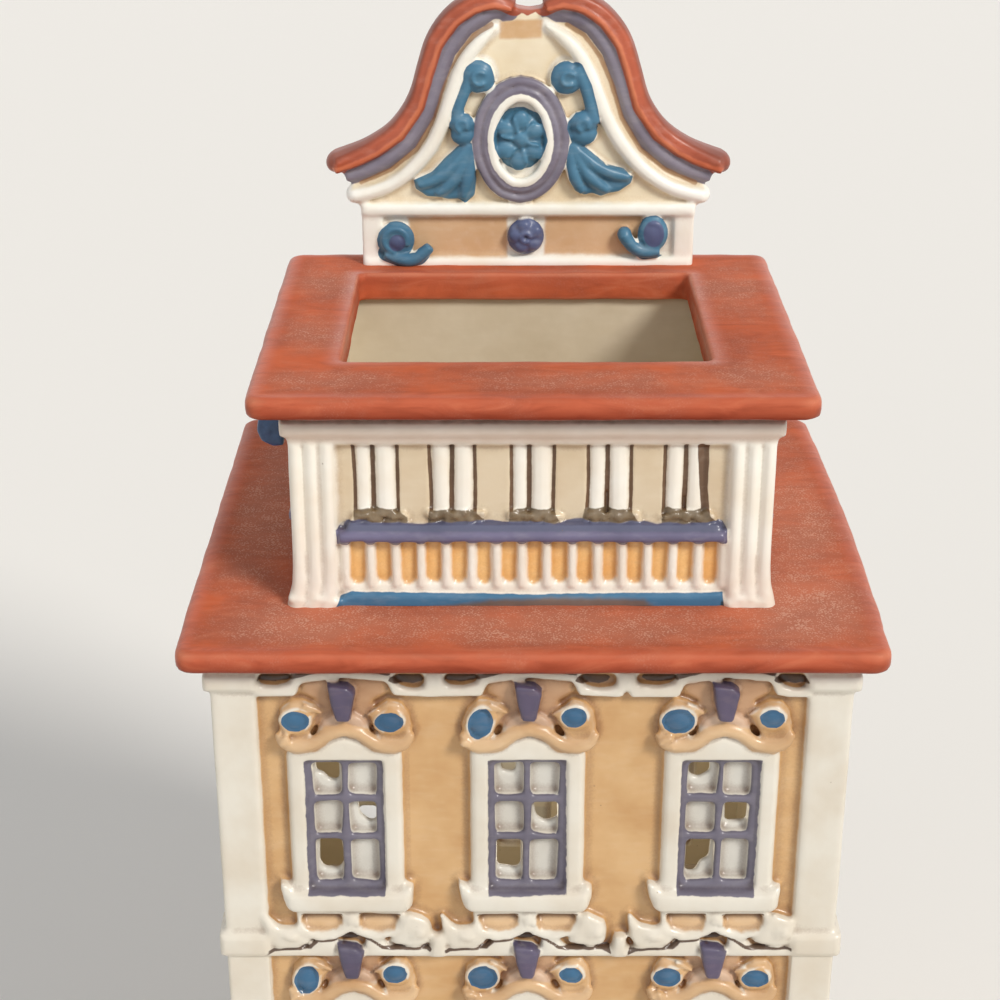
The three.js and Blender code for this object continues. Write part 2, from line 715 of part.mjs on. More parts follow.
function teaLightWick() {
  const wick = { radius: 0.7, length: 14.5, sides: 8 };
  const rod = new THREE.CylinderGeometry(wick.radius, wick.radius, wick.length, wick.sides);
  return solid(rod.rotateX(Math.PI / 2).translate(0, 0, teaLight.wall + wick.length / 2));
}

// Assembly.
const house = new THREE.Group();

function seat(parent, x, y, z, turn = 0) {
  const group = new THREE.Group();
  group.position.set(x, y, z);
  group.rotation.z = turn;
  parent.add(group);
  return group;
}

const floorSlab = block(-innerWidth, innerWidth, -innerDepth, innerDepth, 0, floorThickness);
addPiece(house, "floor_slab", floorSlab, colours.white);
const front = seat(house, 0, -fieldFront, 0);
addPiece(front, "front_wall", frontWall(), colours.tan);
addPiece(seat(house, 0, fieldFront, 0, Math.PI), "rear_wall", rearWall(), colours.tan);
addPiece(seat(house, -fieldSide, 0, 0, -Math.PI / 2), "left_wall", sideWall(), colours.tan);
addPiece(seat(house, fieldSide, 0, 0, Math.PI / 2), "right_wall", sideWall(), colours.tan);
addPiece(seat(front, 0, door.recess, 0), "front_door", doorLeaf(), colours.brown);

const storeyNames = ["ground", "middle", "upper"];
const bayNames = ["left", "centre", "right"];
sills.forEach((sill, storey) => {
  frontBays.forEach((x, bay) => {
    const label = `${storeyNames[storey]}_${bayNames[bay]}`;
    const window = seat(front, x, 0, sill);
    if (storey > 0 || x !== 0) addPiece(window, `lattice_${label}`, lattice(), colours.purple);
    if (storey === 0) return;
    addPiece(window, `crest_${label}`, crest(0, 0, true), colours.cream);
    const onCrest = seat(window, 0, -crestField, 0);
    addPiece(onCrest, `keystone_${label}`, keystone(0, 0, 0.5), colours.purple);
  });
});

addPiece(house, "lower_roof", lowerRoofSolid(), colours.red);
const atticFace = seat(house, 0, -atticFieldFront, lowerRoofTop);
addPiece(atticFace, "attic_front", atticFront(), colours.cream);
addPiece(atticFace, "attic_sill", atticSill(), colours.purple);
addPiece(atticFace, "attic_base_strip", atticBaseStrip(), colours.blue);
const atticBack = seat(house, 0, atticFieldFront, lowerRoofTop, Math.PI);
addPiece(atticBack, "attic_rear", atticShell(attic.width, true), colours.white);
[["left", -1], ["right", 1]].forEach(([name, side]) => {
  const group = seat(house, side * atticFieldSide, 0, lowerRoofTop, (side * Math.PI) / 2);
  addPiece(group, `attic_${name}`, atticShell(2 * atticInner.y, false), colours.white);
});
const bracketSeat = seat(house, -atticHalf - atticCornice.relief, bracket.y, atticTop, -Math.PI / 2);
const bracketSolid = moulding(bracket.profile, -bracket.half, bracket.half);
addPiece(bracketSeat, "left_console", bracketSolid, colours.blue);
addPiece(house, "upper_roof", upperRoofSolid(), colours.red);

const gableFace = seat(house, 0, gable.front, upperRoofTop);
addPiece(gableFace, "gable_wall", gableWall(), colours.white);
addPiece(gableFace, "gable_coping", gableCoping(), colours.red);
addPiece(gableFace, "cartouche_ring", cartoucheRing(), colours.purple);
addPiece(gableFace, "cartouche_rosette", rosette(0, cartouche.z, 4, 7, cartouche.field), colours.blue);
addPiece(gableFace, "base_rosette", rosette(0.3, 4.7, 2.6, 5, 0), colours.purple);
[["left", -1], ["right", 1]].forEach(([name, side]) => {
  addPiece(gableFace, `sprig_${name}`, sprig(side), colours.blue);
  addPiece(gableFace, `base_scroll_${name}`, baseScroll(side), colours.blue);
});

const light = seat(house, 0, teaLight.middle, floorThickness);
const metal = { roughness: 0.35, metalness: 1 };
addPiece(light, "tea_light_cup", teaLightCup(), colours.aluminium, metal);
addPiece(light, "wick_sustainer", wickSustainer(), colours.aluminium, metal);
addPiece(light, "tea_light_wax", teaLightWax(), colours.wax, { roughness: 0.45, metalness: 0 });
addPiece(light, "tea_light_wick", teaLightWick(), colours.white, { roughness: 0.9, metalness: 0 });

export default house;
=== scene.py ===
import math

import bmesh
import bpy
import numpy as np
from mathutils import Matrix, Vector


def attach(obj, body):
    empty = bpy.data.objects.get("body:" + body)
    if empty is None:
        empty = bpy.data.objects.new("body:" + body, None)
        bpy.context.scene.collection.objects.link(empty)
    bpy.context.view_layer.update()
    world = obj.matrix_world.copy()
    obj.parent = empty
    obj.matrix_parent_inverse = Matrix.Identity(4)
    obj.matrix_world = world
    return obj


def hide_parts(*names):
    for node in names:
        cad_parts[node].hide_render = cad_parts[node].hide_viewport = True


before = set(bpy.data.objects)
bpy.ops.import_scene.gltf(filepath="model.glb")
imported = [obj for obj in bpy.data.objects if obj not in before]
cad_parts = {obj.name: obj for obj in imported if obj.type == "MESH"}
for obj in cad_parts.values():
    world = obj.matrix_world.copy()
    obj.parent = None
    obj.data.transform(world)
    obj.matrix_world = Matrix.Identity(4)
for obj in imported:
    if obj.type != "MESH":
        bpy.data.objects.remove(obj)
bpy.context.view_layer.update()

# Camera: a long lens held above the front, looking down at the roofs and along the face of the house.
scene = bpy.context.scene
camera_data = bpy.data.cameras.new("camera")
camera_data.lens = 72
camera_data.sensor_width = 36
camera = bpy.data.objects.new("camera", camera_data)
camera.location = (-0.00433, -0.2735, 0.2584)
camera.rotation_euler = (math.radians(90 - 24), 0, 0)
scene.collection.objects.link(camera)
scene.camera = camera


# Studio: a pale floor, one wide soft light from the right, weaker ones from the left and behind, and an
# even sky. The level is set so that a colour renders about as it is written.
def linear(code):
    """A colour written as sRGB hex, turned to the linear values that a shader takes."""
    parts = [int(code[i : i + 2], 16) / 255 for i in (1, 3, 5)]
    return tuple(c / 12.92 if c <= 0.04045 else ((c + 0.055) / 1.055) ** 2.4 for c in parts) + (1.0,)


def node(tree, kind, inputs=None, **settings):
    """Adds a shader node. Inputs maps a socket to a value or to another node's output."""
    made = tree.nodes.new("ShaderNode" + kind)
    for name, value in settings.items():
        setattr(made, name, value)
    for socket, value in (inputs or {}).items():
        if isinstance(value, bpy.types.NodeSocket):
            tree.links.new(value, made.inputs[socket])
        else:
            made.inputs[socket].default_value = value
    return made


def soft_sun(name, toward, spread, strength, tint="#ffffff"):
    """A wide, distant lamp, so that the light falls alike on every part of the floor and the house."""
    data = bpy.data.lights.new(name, "SUN")
    data.angle = math.radians(spread)
    data.energy = strength
    data.color = linear(tint)[:3]
    lamp = bpy.data.objects.new(name, data)
    lamp.rotation_euler = Vector(toward).to_track_quat("Z", "Y").to_euler()
    scene.collection.objects.link(lamp)


soft_sun("window_light", (0.54, -0.58, 0.61), 16, 2.3, "#fffaf3")
soft_sun("fill_light", (-0.3, -0.8, 0.5), 60, 0.28, "#f6f9ff")
soft_sun("back_light", (0.1, 0.8, 0.6), 60, 0.35)

# A faint lamp inside the house stands for the daylight that the pale inner walls pass on between them.
inner = bpy.data.lights.new("inner_light", "POINT")
inner.energy = 0.02
inner.shadow_soft_size = 0.018
inner.color = linear("#fff4dc")[:3]
inner_lamp = bpy.data.objects.new("inner_light", inner)
inner_lamp.location = (0, 0.004, 0.085)
scene.collection.objects.link(inner_lamp)

world = bpy.data.worlds.new("studio_sky")
scene.world = world
world.use_nodes = True
sky = world.node_tree
sky.nodes.clear()
rays = node(sky, "LightPath")
seen = node(
    sky, "Math", {0: rays.outputs["Is Camera Ray"], 1: rays.outputs["Is Glossy Ray"]}, operation="MAXIMUM"
)
seen = node(sky, "Math", {0: seen.outputs[0], 1: rays.outputs["Is Transmission Ray"]}, operation="MAXIMUM")
even = node(sky, "Background", {"Color": linear("#ffffff"), "Strength": 0.4})
backdrop = node(sky, "Background", {"Color": linear("#ffffff"), "Strength": 1.0})
mixed = node(sky, "MixShader", {0: seen.outputs[0], 1: even.outputs[0], 2: backdrop.outputs[0]})
node(sky, "OutputWorld", {"Surface": mixed.outputs[0]})

floor_mesh = bpy.data.meshes.new("studio_floor")
table = bmesh.new()
bmesh.ops.create_grid(table, x_segments=1, y_segments=1, size=3.0)
table.to_mesh(floor_mesh)
table.free()
studio_floor = bpy.data.objects.new("studio_floor", floor_mesh)
scene.collection.objects.link(studio_floor)
pale_paper = bpy.data.materials.new("matt_paper_sweep")
pale_paper.use_nodes = True
pale_paper.node_tree.nodes["Principled BSDF"].inputs["Base Color"].default_value = linear("#f0eeea")
pale_paper.node_tree.nodes["Principled BSDF"].inputs["Roughness"].default_value = 0.9
floor_mesh.materials.append(pale_paper)

scene.view_settings.view_transform = "Standard"


# Walls. The real house is cast from slip in a plaster mould, so a wall and its relief are one soft skin. A
# storey is laid up here in its own frame, in mm: x along the wall, depth out from the tan field, z up.
MM = 0.001
STOREY_SEAMS = (0.0, 40.9, 82.1, 130.0)
SILLS = (9.8, 51.0, 92.2)
FIELD_FRONT = 37.0
FIELD_SIDE = 42.3
FRONT_HALF = 43.5
SIDE_HALF = 34.0
PILASTER = 6.2
CORNER_STRIP = 2.0
BAY_HALF = 12.9
SIDE_BAY_HALF = 16.4
WALL = 4.0
LOW_CREST = -1.2  # the middle storey's crests sit this much lower over their windows


def slab_of(clay, outline, back, front, soften=0.0, rounds=2):
    """Clay in an outline of (x, z) points, from depth back out to depth front, its front edge softened."""
    face = clay.faces.new([clay.verts.new((x, -back, z)) for x, z in outline])
    grown = bmesh.ops.extrude_face_region(clay, geom=[face])["geom"]
    lifted = [g for g in grown if isinstance(g, bmesh.types.BMVert)]
    bmesh.ops.translate(clay, verts=lifted, vec=(0, back - front, 0))
    if soften:
        rim = [g for g in grown if isinstance(g, bmesh.types.BMEdge)]
        bmesh.ops.bevel(
            clay, geom=rim, offset=soften, segments=rounds, profile=0.5, affect="EDGES", material=-1,
            clamp_overlap=True,
        )


def rect(x0, x1, z0, z1):
    return [(x0, z0), (x1, z0), (x1, z1), (x0, z1)]


def box_of(clay, x0, x1, z0, z1, back, front, soften=0.0):
    slab_of(clay, rect(x0, x1, z0, z1), back, front, soften)


def roll_of(clay, path, radii, depth, lean=1.0):
    """A coil of clay along (x, z) points, its axis at a depth, stretched lean times away from the wall."""
    curve = bpy.data.curves.new("coil", "CURVE")
    curve.dimensions = "3D"
    curve.bevel_depth = 1.0
    curve.bevel_resolution = 3
    curve.resolution_u = 5
    curve.use_fill_caps = True
    spline = curve.splines.new("NURBS")
    spline.points.add(len(path) - 1)
    for point, (x, z), radius in zip(spline.points, path, radii):
        point.co = (x, 0, z, 1)
        point.radius = radius
    spline.order_u = 3
    spline.use_endpoint_u = True
    coil = bpy.data.objects.new("coil", curve)
    skin = bpy.data.meshes.new_from_object(coil)
    skin.transform(Matrix.Translation((0, -depth, 0)) @ Matrix.Diagonal((1, lean, 1, 1)))
    before = len(clay.verts)
    clay.from_mesh(skin)
    clay.verts.ensure_lookup_table()
    bmesh.ops.remove_doubles(clay, verts=clay.verts[before:], dist=0.001)
    bpy.data.objects.remove(coil)
    bpy.data.curves.remove(curve)
    bpy.data.meshes.remove(skin)


def ball_of(clay, x, z, depth, rx, rz, ry, turn=0.0):
    """A pressed ball of clay: half widths rx and rz in the wall's plane, ry out of it, turned in it."""
    stretch = Matrix.Diagonal((rx, ry, rz, 1))
    place = Matrix.Translation((x, -depth, z)) @ Matrix.Rotation(math.radians(turn), 4, "Y") @ stretch
    bmesh.ops.create_icosphere(clay, subdivisions=3, radius=1, matrix=place)


def evaluated(obj):
    """The object's mesh with its modifiers applied; the object goes."""
    made = bpy.data.meshes.new_from_object(obj.evaluated_get(bpy.context.evaluated_depsgraph_get()))
    old = obj.data
    bpy.data.objects.remove(obj)
    bpy.data.meshes.remove(old)
    return made


def loose(clay, name="clay"):
    """A bmesh as an object in the scene; the bmesh goes."""
    mesh = bpy.data.meshes.new(name)
    bmesh.ops.recalc_face_normals(clay, faces=clay.faces)
    clay.to_mesh(mesh)
    clay.free()
    obj = bpy.data.objects.new(name, mesh)
    scene.collection.objects.link(obj)
    return obj


hand_made = bpy.data.textures.new("hand_made", "CLOUDS")
hand_made.noise_scale = 6.0
hand_made.noise_depth = 1


def cast(clay, facet, rounds, uneven, knife=None, cuts=()):
    """Closes overlapping clay to one skin of facet-sized faces, cuts it with the knife, softens it as slip
    does and trims it at planes (point, normal), whose outer side goes. Gives a mesh in mm."""
    body = loose(clay)
    skin = body.modifiers.new("skin", "REMESH")
    skin.mode = "VOXEL"
    skin.voxel_size = facet
    blade = None
    if knife is not None:
        blade = loose(knife, "blade")
        whole = blade.modifiers.new("whole", "REMESH")
        whole.mode = "VOXEL"
        whole.voxel_size = 0.8 * facet
        cut = body.modifiers.new("cut", "BOOLEAN")
        cut.operation = "DIFFERENCE"
        cut.object = blade
        cut.solver = "MANIFOLD"
        again = body.modifiers.new("skin_again", "REMESH")
        again.mode = "VOXEL"
        again.voxel_size = facet
    soft = body.modifiers.new("soft", "SMOOTH")
    soft.factor = 0.5
    soft.iterations = rounds
    wave = body.modifiers.new("wave", "DISPLACE")
    wave.texture = hand_made
    wave.texture_coords = "LOCAL"
    wave.strength = uneven
    wave.mid_level = 0.5
    mesh = evaluated(body)
    if blade is not None:
        data = blade.data
        bpy.data.objects.remove(blade)
        bpy.data.meshes.remove(data)
    trim = bmesh.new()
    trim.from_mesh(mesh)
    for point, normal in cuts:
        every = trim.verts[:] + trim.edges[:] + trim.faces[:]
        made = bmesh.ops.bisect_plane(
            trim, geom=every, dist=0.0001, plane_co=point, plane_no=normal, clear_outer=True,
            clear_inner=False,
        )
        rim = [g for g in made["geom_cut"] if isinstance(g, bmesh.types.BMEdge) and g.is_boundary]
        lid = bmesh.ops.triangle_fill(trim, use_beauty=False, use_dissolve=False, edges=rim)["geom"]
        for face in [g for g in lid if isinstance(g, bmesh.types.BMFace)]:
            face.normal_update()
            if face.normal.dot(normal) < 0:
                face.normal_flip()
        for edge in rim:
            edge.smooth = False
    trim.to_mesh(mesh)
    trim.free()
    return mesh


def carved_and_pressed(clay, knife, lumps, facet, cuts):
    """Clay cut with the knife, with lumps pressed on it, all softened and trimmed. Gives a mesh in mm."""
    joined = bmesh.new()
    carved = cast(clay, facet, 2, uneven=0.0, knife=knife)
    joined.from_mesh(carved)
    bpy.data.meshes.remove(carved)
    pressed = bpy.data.meshes.new("pressed")
    lumps.to_mesh(pressed)
    lumps.free()
    joined.from_mesh(pressed)
    bpy.data.meshes.remove(pressed)
    return cast(joined, facet, 2, uneven=0.12, cuts=cuts)


def points_of(mesh):
    """The mesh's points as columns x, depth and z."""
    co = np.empty(len(mesh.vertices) * 3)
    mesh.vertices.foreach_get("co", co)
    co = co.reshape(-1, 3)
    return co[:, 0], -co[:, 1], co[:, 2]


def keep(mesh, name, values):
    """Keeps one number for each point, in mm, for the material to read."""
    kept = mesh.attributes.new(name, "FLOAT", "POINT")
    kept.data.foreach_set("value", np.clip(values, -3, 3).astype(np.float32))


def far_from(x, z, path):
    """How far each point lies from the line through a path's points."""
    nearest = np.full(len(x), 1e9)
    for (x0, z0), (x1, z1) in zip(path, path[1:]):
        ex, ez = x1 - x0, z1 - z0
        t = np.clip(((x - x0) * ex + (z - z0) * ez) / max(ex * ex + ez * ez, 1e-9), 0, 1)
        nearest = np.minimum(nearest, np.hypot(x - x0 - t * ex, z - z0 - t * ez))
    return nearest


def within(x, z, outline):
    """How far inside an outline each point lies, in mm, and negative outside."""
    closed = [*outline, outline[0]]
    nearest = far_from(x, z, closed)
    inside = np.zeros(len(x), bool)
    for (x0, z0), (x1, z1) in zip(closed, closed[1:]):
        crossed = (z0 > z) != (z1 > z)
        inside ^= crossed & (x < x0 + (x1 - x0) * (z - z0) / ((z1 - z0) or 1e-9))
    return np.where(inside, nearest, -nearest)


def reach_of(x, z, outlines, strokes=()):
    """How far inside any of these outlines or brush strokes each point lies, in mm, and -3 far off."""
    best = np.full(len(x), -3.0)
    for outline in outlines:
        best = np.maximum(best, within(x, z, outline))
    for path, width in strokes:
        best = np.maximum(best, width / 2 - far_from(x, z, path))
    return best


def hollows(mesh):
    """How deep each point lies below the skin around it, in mm, where the materials paint shade and dirty
    wash.
    """
    rounds = 14
    count = len(mesh.vertices)
    co = np.empty(count * 3)
    mesh.vertices.foreach_get("co", co)
    co = co.reshape(-1, 3)
    normal = np.empty(count * 3)
    mesh.vertices.foreach_get("normal", normal)
    normal = normal.reshape(-1, 3)
    edges = np.empty(len(mesh.edges) * 2, int)
    mesh.edges.foreach_get("vertices", edges)
    a, b = edges.reshape(-1, 2).T
    meets = np.maximum(np.bincount(a, minlength=count) + np.bincount(b, minlength=count), 1)
    even = co.copy()
    for _ in range(rounds):
        total = np.empty_like(even)
        for axis in range(3):
            total[:, axis] = np.bincount(a, even[b, axis], count) + np.bincount(b, even[a, axis], count)
        even = 0.5 * even + 0.5 * total / meets[:, None]
    keep(mesh, "hollow", np.einsum("ij,ij->i", even - co, normal))


def placed(mesh, name, place, body, finish, nodes):
    """A finished piece: its mesh goes to its place in metres, and stands for its CAD nodes."""
    mesh.name = name
    mesh.transform(Matrix.Scale(MM, 4) @ place)
    mesh.shade_smooth()
    mesh.materials.clear()
    mesh.materials.append(finish)
    obj = bpy.data.objects.new(name, mesh)
    scene.collection.objects.link(obj)
    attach(obj, body)
    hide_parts(*nodes)


def shaky(outline, amount, draw):
    """An outline as a hand leaves it, each point off by a little."""
    return [(x + draw.normal(0, amount), z + draw.normal(0, amount)) for x, z in outline]


def moved(outline, dx, dz, side=1):
    return [(dx + side * x, dz + z) for x, z in outline]


def ring(x, z, rx, rz, turn=0.0, sides=18):
    """The outline of a turned oval."""
    c, s = math.cos(math.radians(turn)), math.sin(math.radians(turn))
    spots = [
        (rx * math.cos(2 * math.pi * i / sides), rz * math.sin(2 * math.pi * i / sides)) for i in range(sides)
    ]
    return [(x + c * u - s * v, z + s * u + c * v) for u, v in spots]


def new_finish(name):
    """A new material with only the piece's own coordinates. Gives the material, its tree and that socket."""
    finish = bpy.data.materials.new(name)
    finish.use_nodes = True
    finish.node_tree.nodes.clear()
    return finish, finish.node_tree, node(finish.node_tree, "TexCoord").outputs["Object"]


def curled(x, z, rx, rz, start, end, count=9):
    """Points along part of an oval, with its angles in radians."""
    return [(x + rx * math.cos(a), z + rz * math.sin(a)) for a in np.linspace(start, end, count)]


def painted_bisque(name, body, coats, gloss=0.34, coat=0.3, wash_and_shade_colour="#8e6840", wash_and_shade_cover=0.7, pooled=0.4):
    """Bisque-fired earthenware under hand-brushed ceramic colours, unglazed but sealed, so satin. The
    body's colour varies in soft clouds. Each coat covers where its kept distance is above zero, with a
    brush's wavering edge, pools darker along that edge and lets the body through in thin strokes. The
    hollows darken with painted shade and with dirty thinned colour that gathers there. A coat is
    (attribute, colour, darker colour, softness mm, waver mm, cover)."""
    finish, tree, spot = new_finish(name)
    clouds = node(
        tree, "TexNoise", {"Vector": spot, "Scale": 1 / 0.009, "Detail": 3.0, "Roughness": 0.55}
    ).outputs[0]
    stretched = node(tree, "Mapping", {"Vector": spot, "Scale": (0.35, 1.0, 1.0)}).outputs[0]
    strokes = node(tree, "TexNoise", {"Vector": stretched, "Scale": 1 / 0.0011, "Detail": 3.0}).outputs[0]
    waver = node(tree, "TexNoise", {"Vector": spot, "Scale": 1 / 0.0016, "Detail": 2.0}).outputs[0]
    grain = node(tree, "TexNoise", {"Vector": spot, "Scale": 1 / 0.0003, "Detail": 2.0}).outputs[0]
    light, deep = body
    tone = node(tree, "MapRange", {"Value": clouds, "From Min": 0.35, "From Max": 0.7}).outputs[0]
    colour = node(tree, "Mix", {0: tone, 6: linear(light), 7: linear(deep)}, data_type="RGBA").outputs[2]
    centred = node(tree, "Math", {0: waver, 1: -0.5}, operation="ADD").outputs[0]
    thin = node(
        tree, "MapRange", {"Value": strokes, "From Min": 0.3, "From Max": 0.5, "To Min": 0.95}
    ).outputs[0]
    mottle = node(tree, "Math", {0: strokes, 1: 0.12, 2: clouds}, operation="MULTIPLY_ADD").outputs[0]
    mottle = node(
        tree, "MapRange", {"Value": mottle, "From Min": 0.44, "From Max": 0.78, "To Max": 0.6}
    ).outputs[0]
    for attribute, fresh, dark, softness, wave, cover in coats:
        reach = node(tree, "Attribute", attribute_name=attribute).outputs["Fac"]
        off = node(tree, "Math", {0: centred, 1: 2 * wave, 2: reach}, operation="MULTIPLY_ADD").outputs[0]
        over = node(
            tree,
            "MapRange",
            {"Value": off, "From Min": -softness / 2, "From Max": softness / 2, "To Max": cover},
            interpolation_type="SMOOTHSTEP",
        ).outputs[0]
        over = node(tree, "Math", {0: over, 1: thin}, operation="MULTIPLY").outputs[0]
        pool = node(tree, "MapRange", {"Value": reach, "From Min": 2.0, "From Max": 0.0}).outputs[0]
        blend = node(
            tree, "Math", {0: pool, 1: pooled, 2: mottle}, operation="MULTIPLY_ADD", use_clamp=True
        ).outputs[0]
        shade = node(tree, "Mix", {0: blend, 6: linear(fresh), 7: linear(dark)}, data_type="RGBA").outputs[2]
        colour = node(tree, "Mix", {0: over, 6: colour, 7: shade}, data_type="RGBA").outputs[2]
    depth = node(tree, "Attribute", attribute_name="hollow").outputs["Fac"]
    depth = node(tree, "Math", {0: grain, 1: 0.08, 2: depth}, operation="MULTIPLY_ADD").outputs[0]
    # Painted shade together with dirty wash: the hollows darken towards a brown.
    wash_and_shade = node(
        tree, "MapRange", {"Value": depth, "From Min": 0.06, "From Max": 0.28, "To Max": wash_and_shade_cover}
    ).outputs[0]
    colour = node(
        tree, "Mix", {0: wash_and_shade, 6: colour, 7: linear(wash_and_shade_colour)}, data_type="RGBA", blend_type="MULTIPLY"
    ).outputs[2]
    pits = node(
        tree, "TexVoronoi", {"Vector": spot, "Scale": 1 / 0.0042, "Randomness": 1.0}
    ).outputs["Distance"]
    pits = node(tree, "Math", {0: waver, 1: 0.22, 2: pits}, operation="MULTIPLY_ADD").outputs[0]
    pits = node(
        tree, "MapRange", {"Value": pits, "From Min": 0.14, "From Max": 0.12, "To Max": 0.5}
    ).outputs[0]
    colour = node(tree, "Mix", {0: pits, 6: colour, 7: linear("#7d6248")}, data_type="RGBA").outputs[2]
    sheen = node(
        tree, "MapRange", {"Value": clouds, "To Min": gloss - 0.1, "To Max": gloss + 0.14}
    ).outputs[0]
    relief = node(tree, "Math", {0: strokes, 1: 0.15, 2: waver}, operation="MULTIPLY_ADD").outputs[0]
    bump = node(tree, "Bump", {"Height": relief, "Strength": 0.3, "Distance": 0.00012}).outputs[0]
    shader = node(
        tree,
        "BsdfPrincipled",
        {
            "Base Color": colour, "Roughness": sheen, "Normal": bump, "Coat Weight": coat,
            "Coat Roughness": 0.14, "Specular IOR Level": 0.36,
        },
    )
    node(tree, "OutputMaterial", {"Surface": shader.outputs[0]})
    return finish


# The facade: tan wash on the field, a warmer one on the crests, rosy brown about the keystones, purple sash
# bars and keystones, blue roundels, and dark brown in the joint lines. The rosy brown is a wash on the crest
# fields and painted shade beside the keystones and in the band under the eave. The upper part of each apron
# panel has painted shade, with a dark brown line of painted shadow along its top. Inside it is bisque,
# coloured darker as painted shade for the dim inside.
facade_paint = painted_bisque(
    "hand_painted_facade_bisque",
    # The body's white is a darker copy of the house's white: painted shade for the dimmer light on the walls.
    ("#e0dbcf", "#d6ccbb"),
    [
        ("tan", "#dbb684", "#c0925c", 0.25, 0.15, 0.97),
        # Rosy: a wash on the crest fields, and painted shade beside the keystones and under the eave.
        ("rosy", "#d2ac8c", "#9c6a44", 1.2, 0.35, 0.8),
        ("crest", "#ddb98b", "#b58652", 0.45, 0.3, 0.9),
        ("shade", "#a98860", "#8a6a48", 0.5, 0.2, 0.75),
        ("pane", "#d5d3cc", "#c3c0b8", 0.5, 0.1, 0.8),
        ("purple", "#706b7c", "#545062", 0.15, 0.22, 0.97),
        ("stone", "#584f6c", "#3f3a54", 0.2, 0.1, 0.97),
        ("blue", "#3a6b8f", "#284f70", 0.1, 0.08, 1.0),
        ("brown", "#5f412c", "#3f2a1e", 0.15, 0.1, 0.95),
        ("door", "#8a5f3f", "#5d3c26", 0.15, 0.1, 1.0),
        # Inner faces: bisque coloured darker as painted shade for the dim inside.
        ("bare_and_shade", "#d8cbb1", "#c3b497", 0.8, 0.2, 0.9),
    ],
    # The hollows: painted shade together with dirty wash.
    wash_and_shade_colour="#825a3a",
    wash_and_shade_cover=0.85,
)

# One window bay, from the bay's middle and the top of its sill.
SURROUND = [
    (-7.9, -1.0), (8.0, -1.0), (8.0, 23.6), (6.8, 24.9), (4.2, 25.0), (2.2, 25.9), (0.2, 26.4),
    (-1.8, 25.9), (-3.6, 25.1), (-6.6, 24.9), (-7.9, 23.6),
]
PLAIN_SURROUND = [(-7.5, -1), (7.5, -1), (7.5, 23.4), (3.8, 24.4), (-3.8, 24.4), (-7.5, 23.4)]
SILL = [(-8.0, -1.9), (8.1, -1.9), (8.9, -0.9), (8.8, 1.5), (-8.8, 1.5), (-8.9, -0.9)]
SASH = (-5.5, 5.5, 1.5, 22.6)
PANE_ROWS = ((2.5, 9.2), (10.3, 15.3), (16.5, 21.7))
HORN_LEFT = [(-7.6, -1.9), (-8.7, -1.4), (-9.3, 0.4), (-9.7, 2.9), (-8.7, 2.6), (-7.6, 1.6)]
HORN_RIGHT = [(7.6, -1.9), (8.8, -1.3), (9.2, 0.3), (9.2, 2.0), (8.5, 2.3), (7.6, 1.6)]
APRON = [
    (-7.6, -2.2), (7.6, -2.2), (7.7, -5.2), (5.0, -6.9), (2.0, -6.5), (0.3, -5.5), (-0.3, -5.5),
    (-2.0, -6.4), (-4.0, -6.9), (-7.4, -5.4),
]
APRON_RIM = [
    (-7.5, -5.0), (-5.6, -6.4), (-3.2, -6.8), (-1.2, -6.2), (0.1, -5.1), (1.6, -6.3), (4.0, -6.9), (7.6, -5.2)
]
SUNK = [(-6.9, -2.9), (-1.3, -2.9), (-1.2, -4.6), (-1.9, -5.5), (-4.0, -5.8), (-6.2, -5.4), (-6.9, -4.2)]
LEAF_LEFT = [
    (-12.2, -3.0), (-11.0, -4.4), (-9.8, -5.0), (-8.6, -5.0), (-7.2, -5.2), (-6.2, -6.6), (-5.6, -7.6),
    (-7.5, -8.4), (-10.6, -8.5), (-11.8, -6.8),
]
LEAF_RIGHT = [
    (7.6, -3.3), (8.6, -2.7), (10.0, -3.4), (11.2, -4.1), (11.6, -5.4), (11.3, -7.6), (9.4, -8.3),
    (5.6, -7.6), (6.6, -6.2),
]
HOOD = [
    (-12.9, -10.0), (12.9, -10.0), (12.9, -8.6), (5.8, -8.6), (4.6, -7.4), (2.2, -7.2), (2.0, -9.1),
    (-1.9, -9.1), (-2.1, -7.2), (-4.6, -7.3), (-5.9, -8.6), (-12.9, -8.7),
]
JOINT_LINE = [
    (-11.9, -9.1), (-11.0, -8.7), (-6.9, -8.55), (-5.7, -8.4), (-4.6, -7.2), (-1.8, -7.0), (0.0, -6.3),
    (3.0, -7.0), (4.6, -8.3), (5.8, -8.6), (11.6, -8.5),
]
JOINT_EAR = [(-12.3, -9.7), (-11.9, -8.6), (-10.2, -8.7)]
JOINT_HOLE = [(-2.2, -7.0), (-0.2, -5.9), (2.0, -7.0), (0.9, -7.6), (-1.0, -7.6)]
BROW = [
    (-8.8, 27.0), (-8.4, 25.6), (-6.6, 24.9), (-4.0, 25.2), (-1.9, 26.9), (0.3, 27.5), (2.5, 26.8),
    (4.5, 25.1), (7.0, 24.8), (8.8, 25.5), (9.4, 27.0),
]
LOBE_LEFT = [
    (-8.4, 25.2), (-8.7, 27.6), (-8.3, 30.3), (-6.9, 31.8), (-5.2, 31.7), (-3.8, 30.9), (-2.5, 30.1),
    (-3.6, 28.9), (-4.3, 27.5), (-5.2, 25.4),
]
LOBE_RIGHT = [
    (9.0, 25.2), (9.4, 27.4), (8.9, 30.2), (7.9, 31.5), (6.2, 31.6), (4.8, 30.7), (3.2, 29.8), (4.0, 28.6),
    (4.5, 27.4), (5.6, 25.4),
]
CREST_FIELD = [
    (-4.6, 27.6), (-3.4, 31.4), (-5.3, 32.6), (-5.0, 34.9), (5.5, 34.9), (6.1, 32.7), (4.1, 31.4), (4.6, 27.6)
]
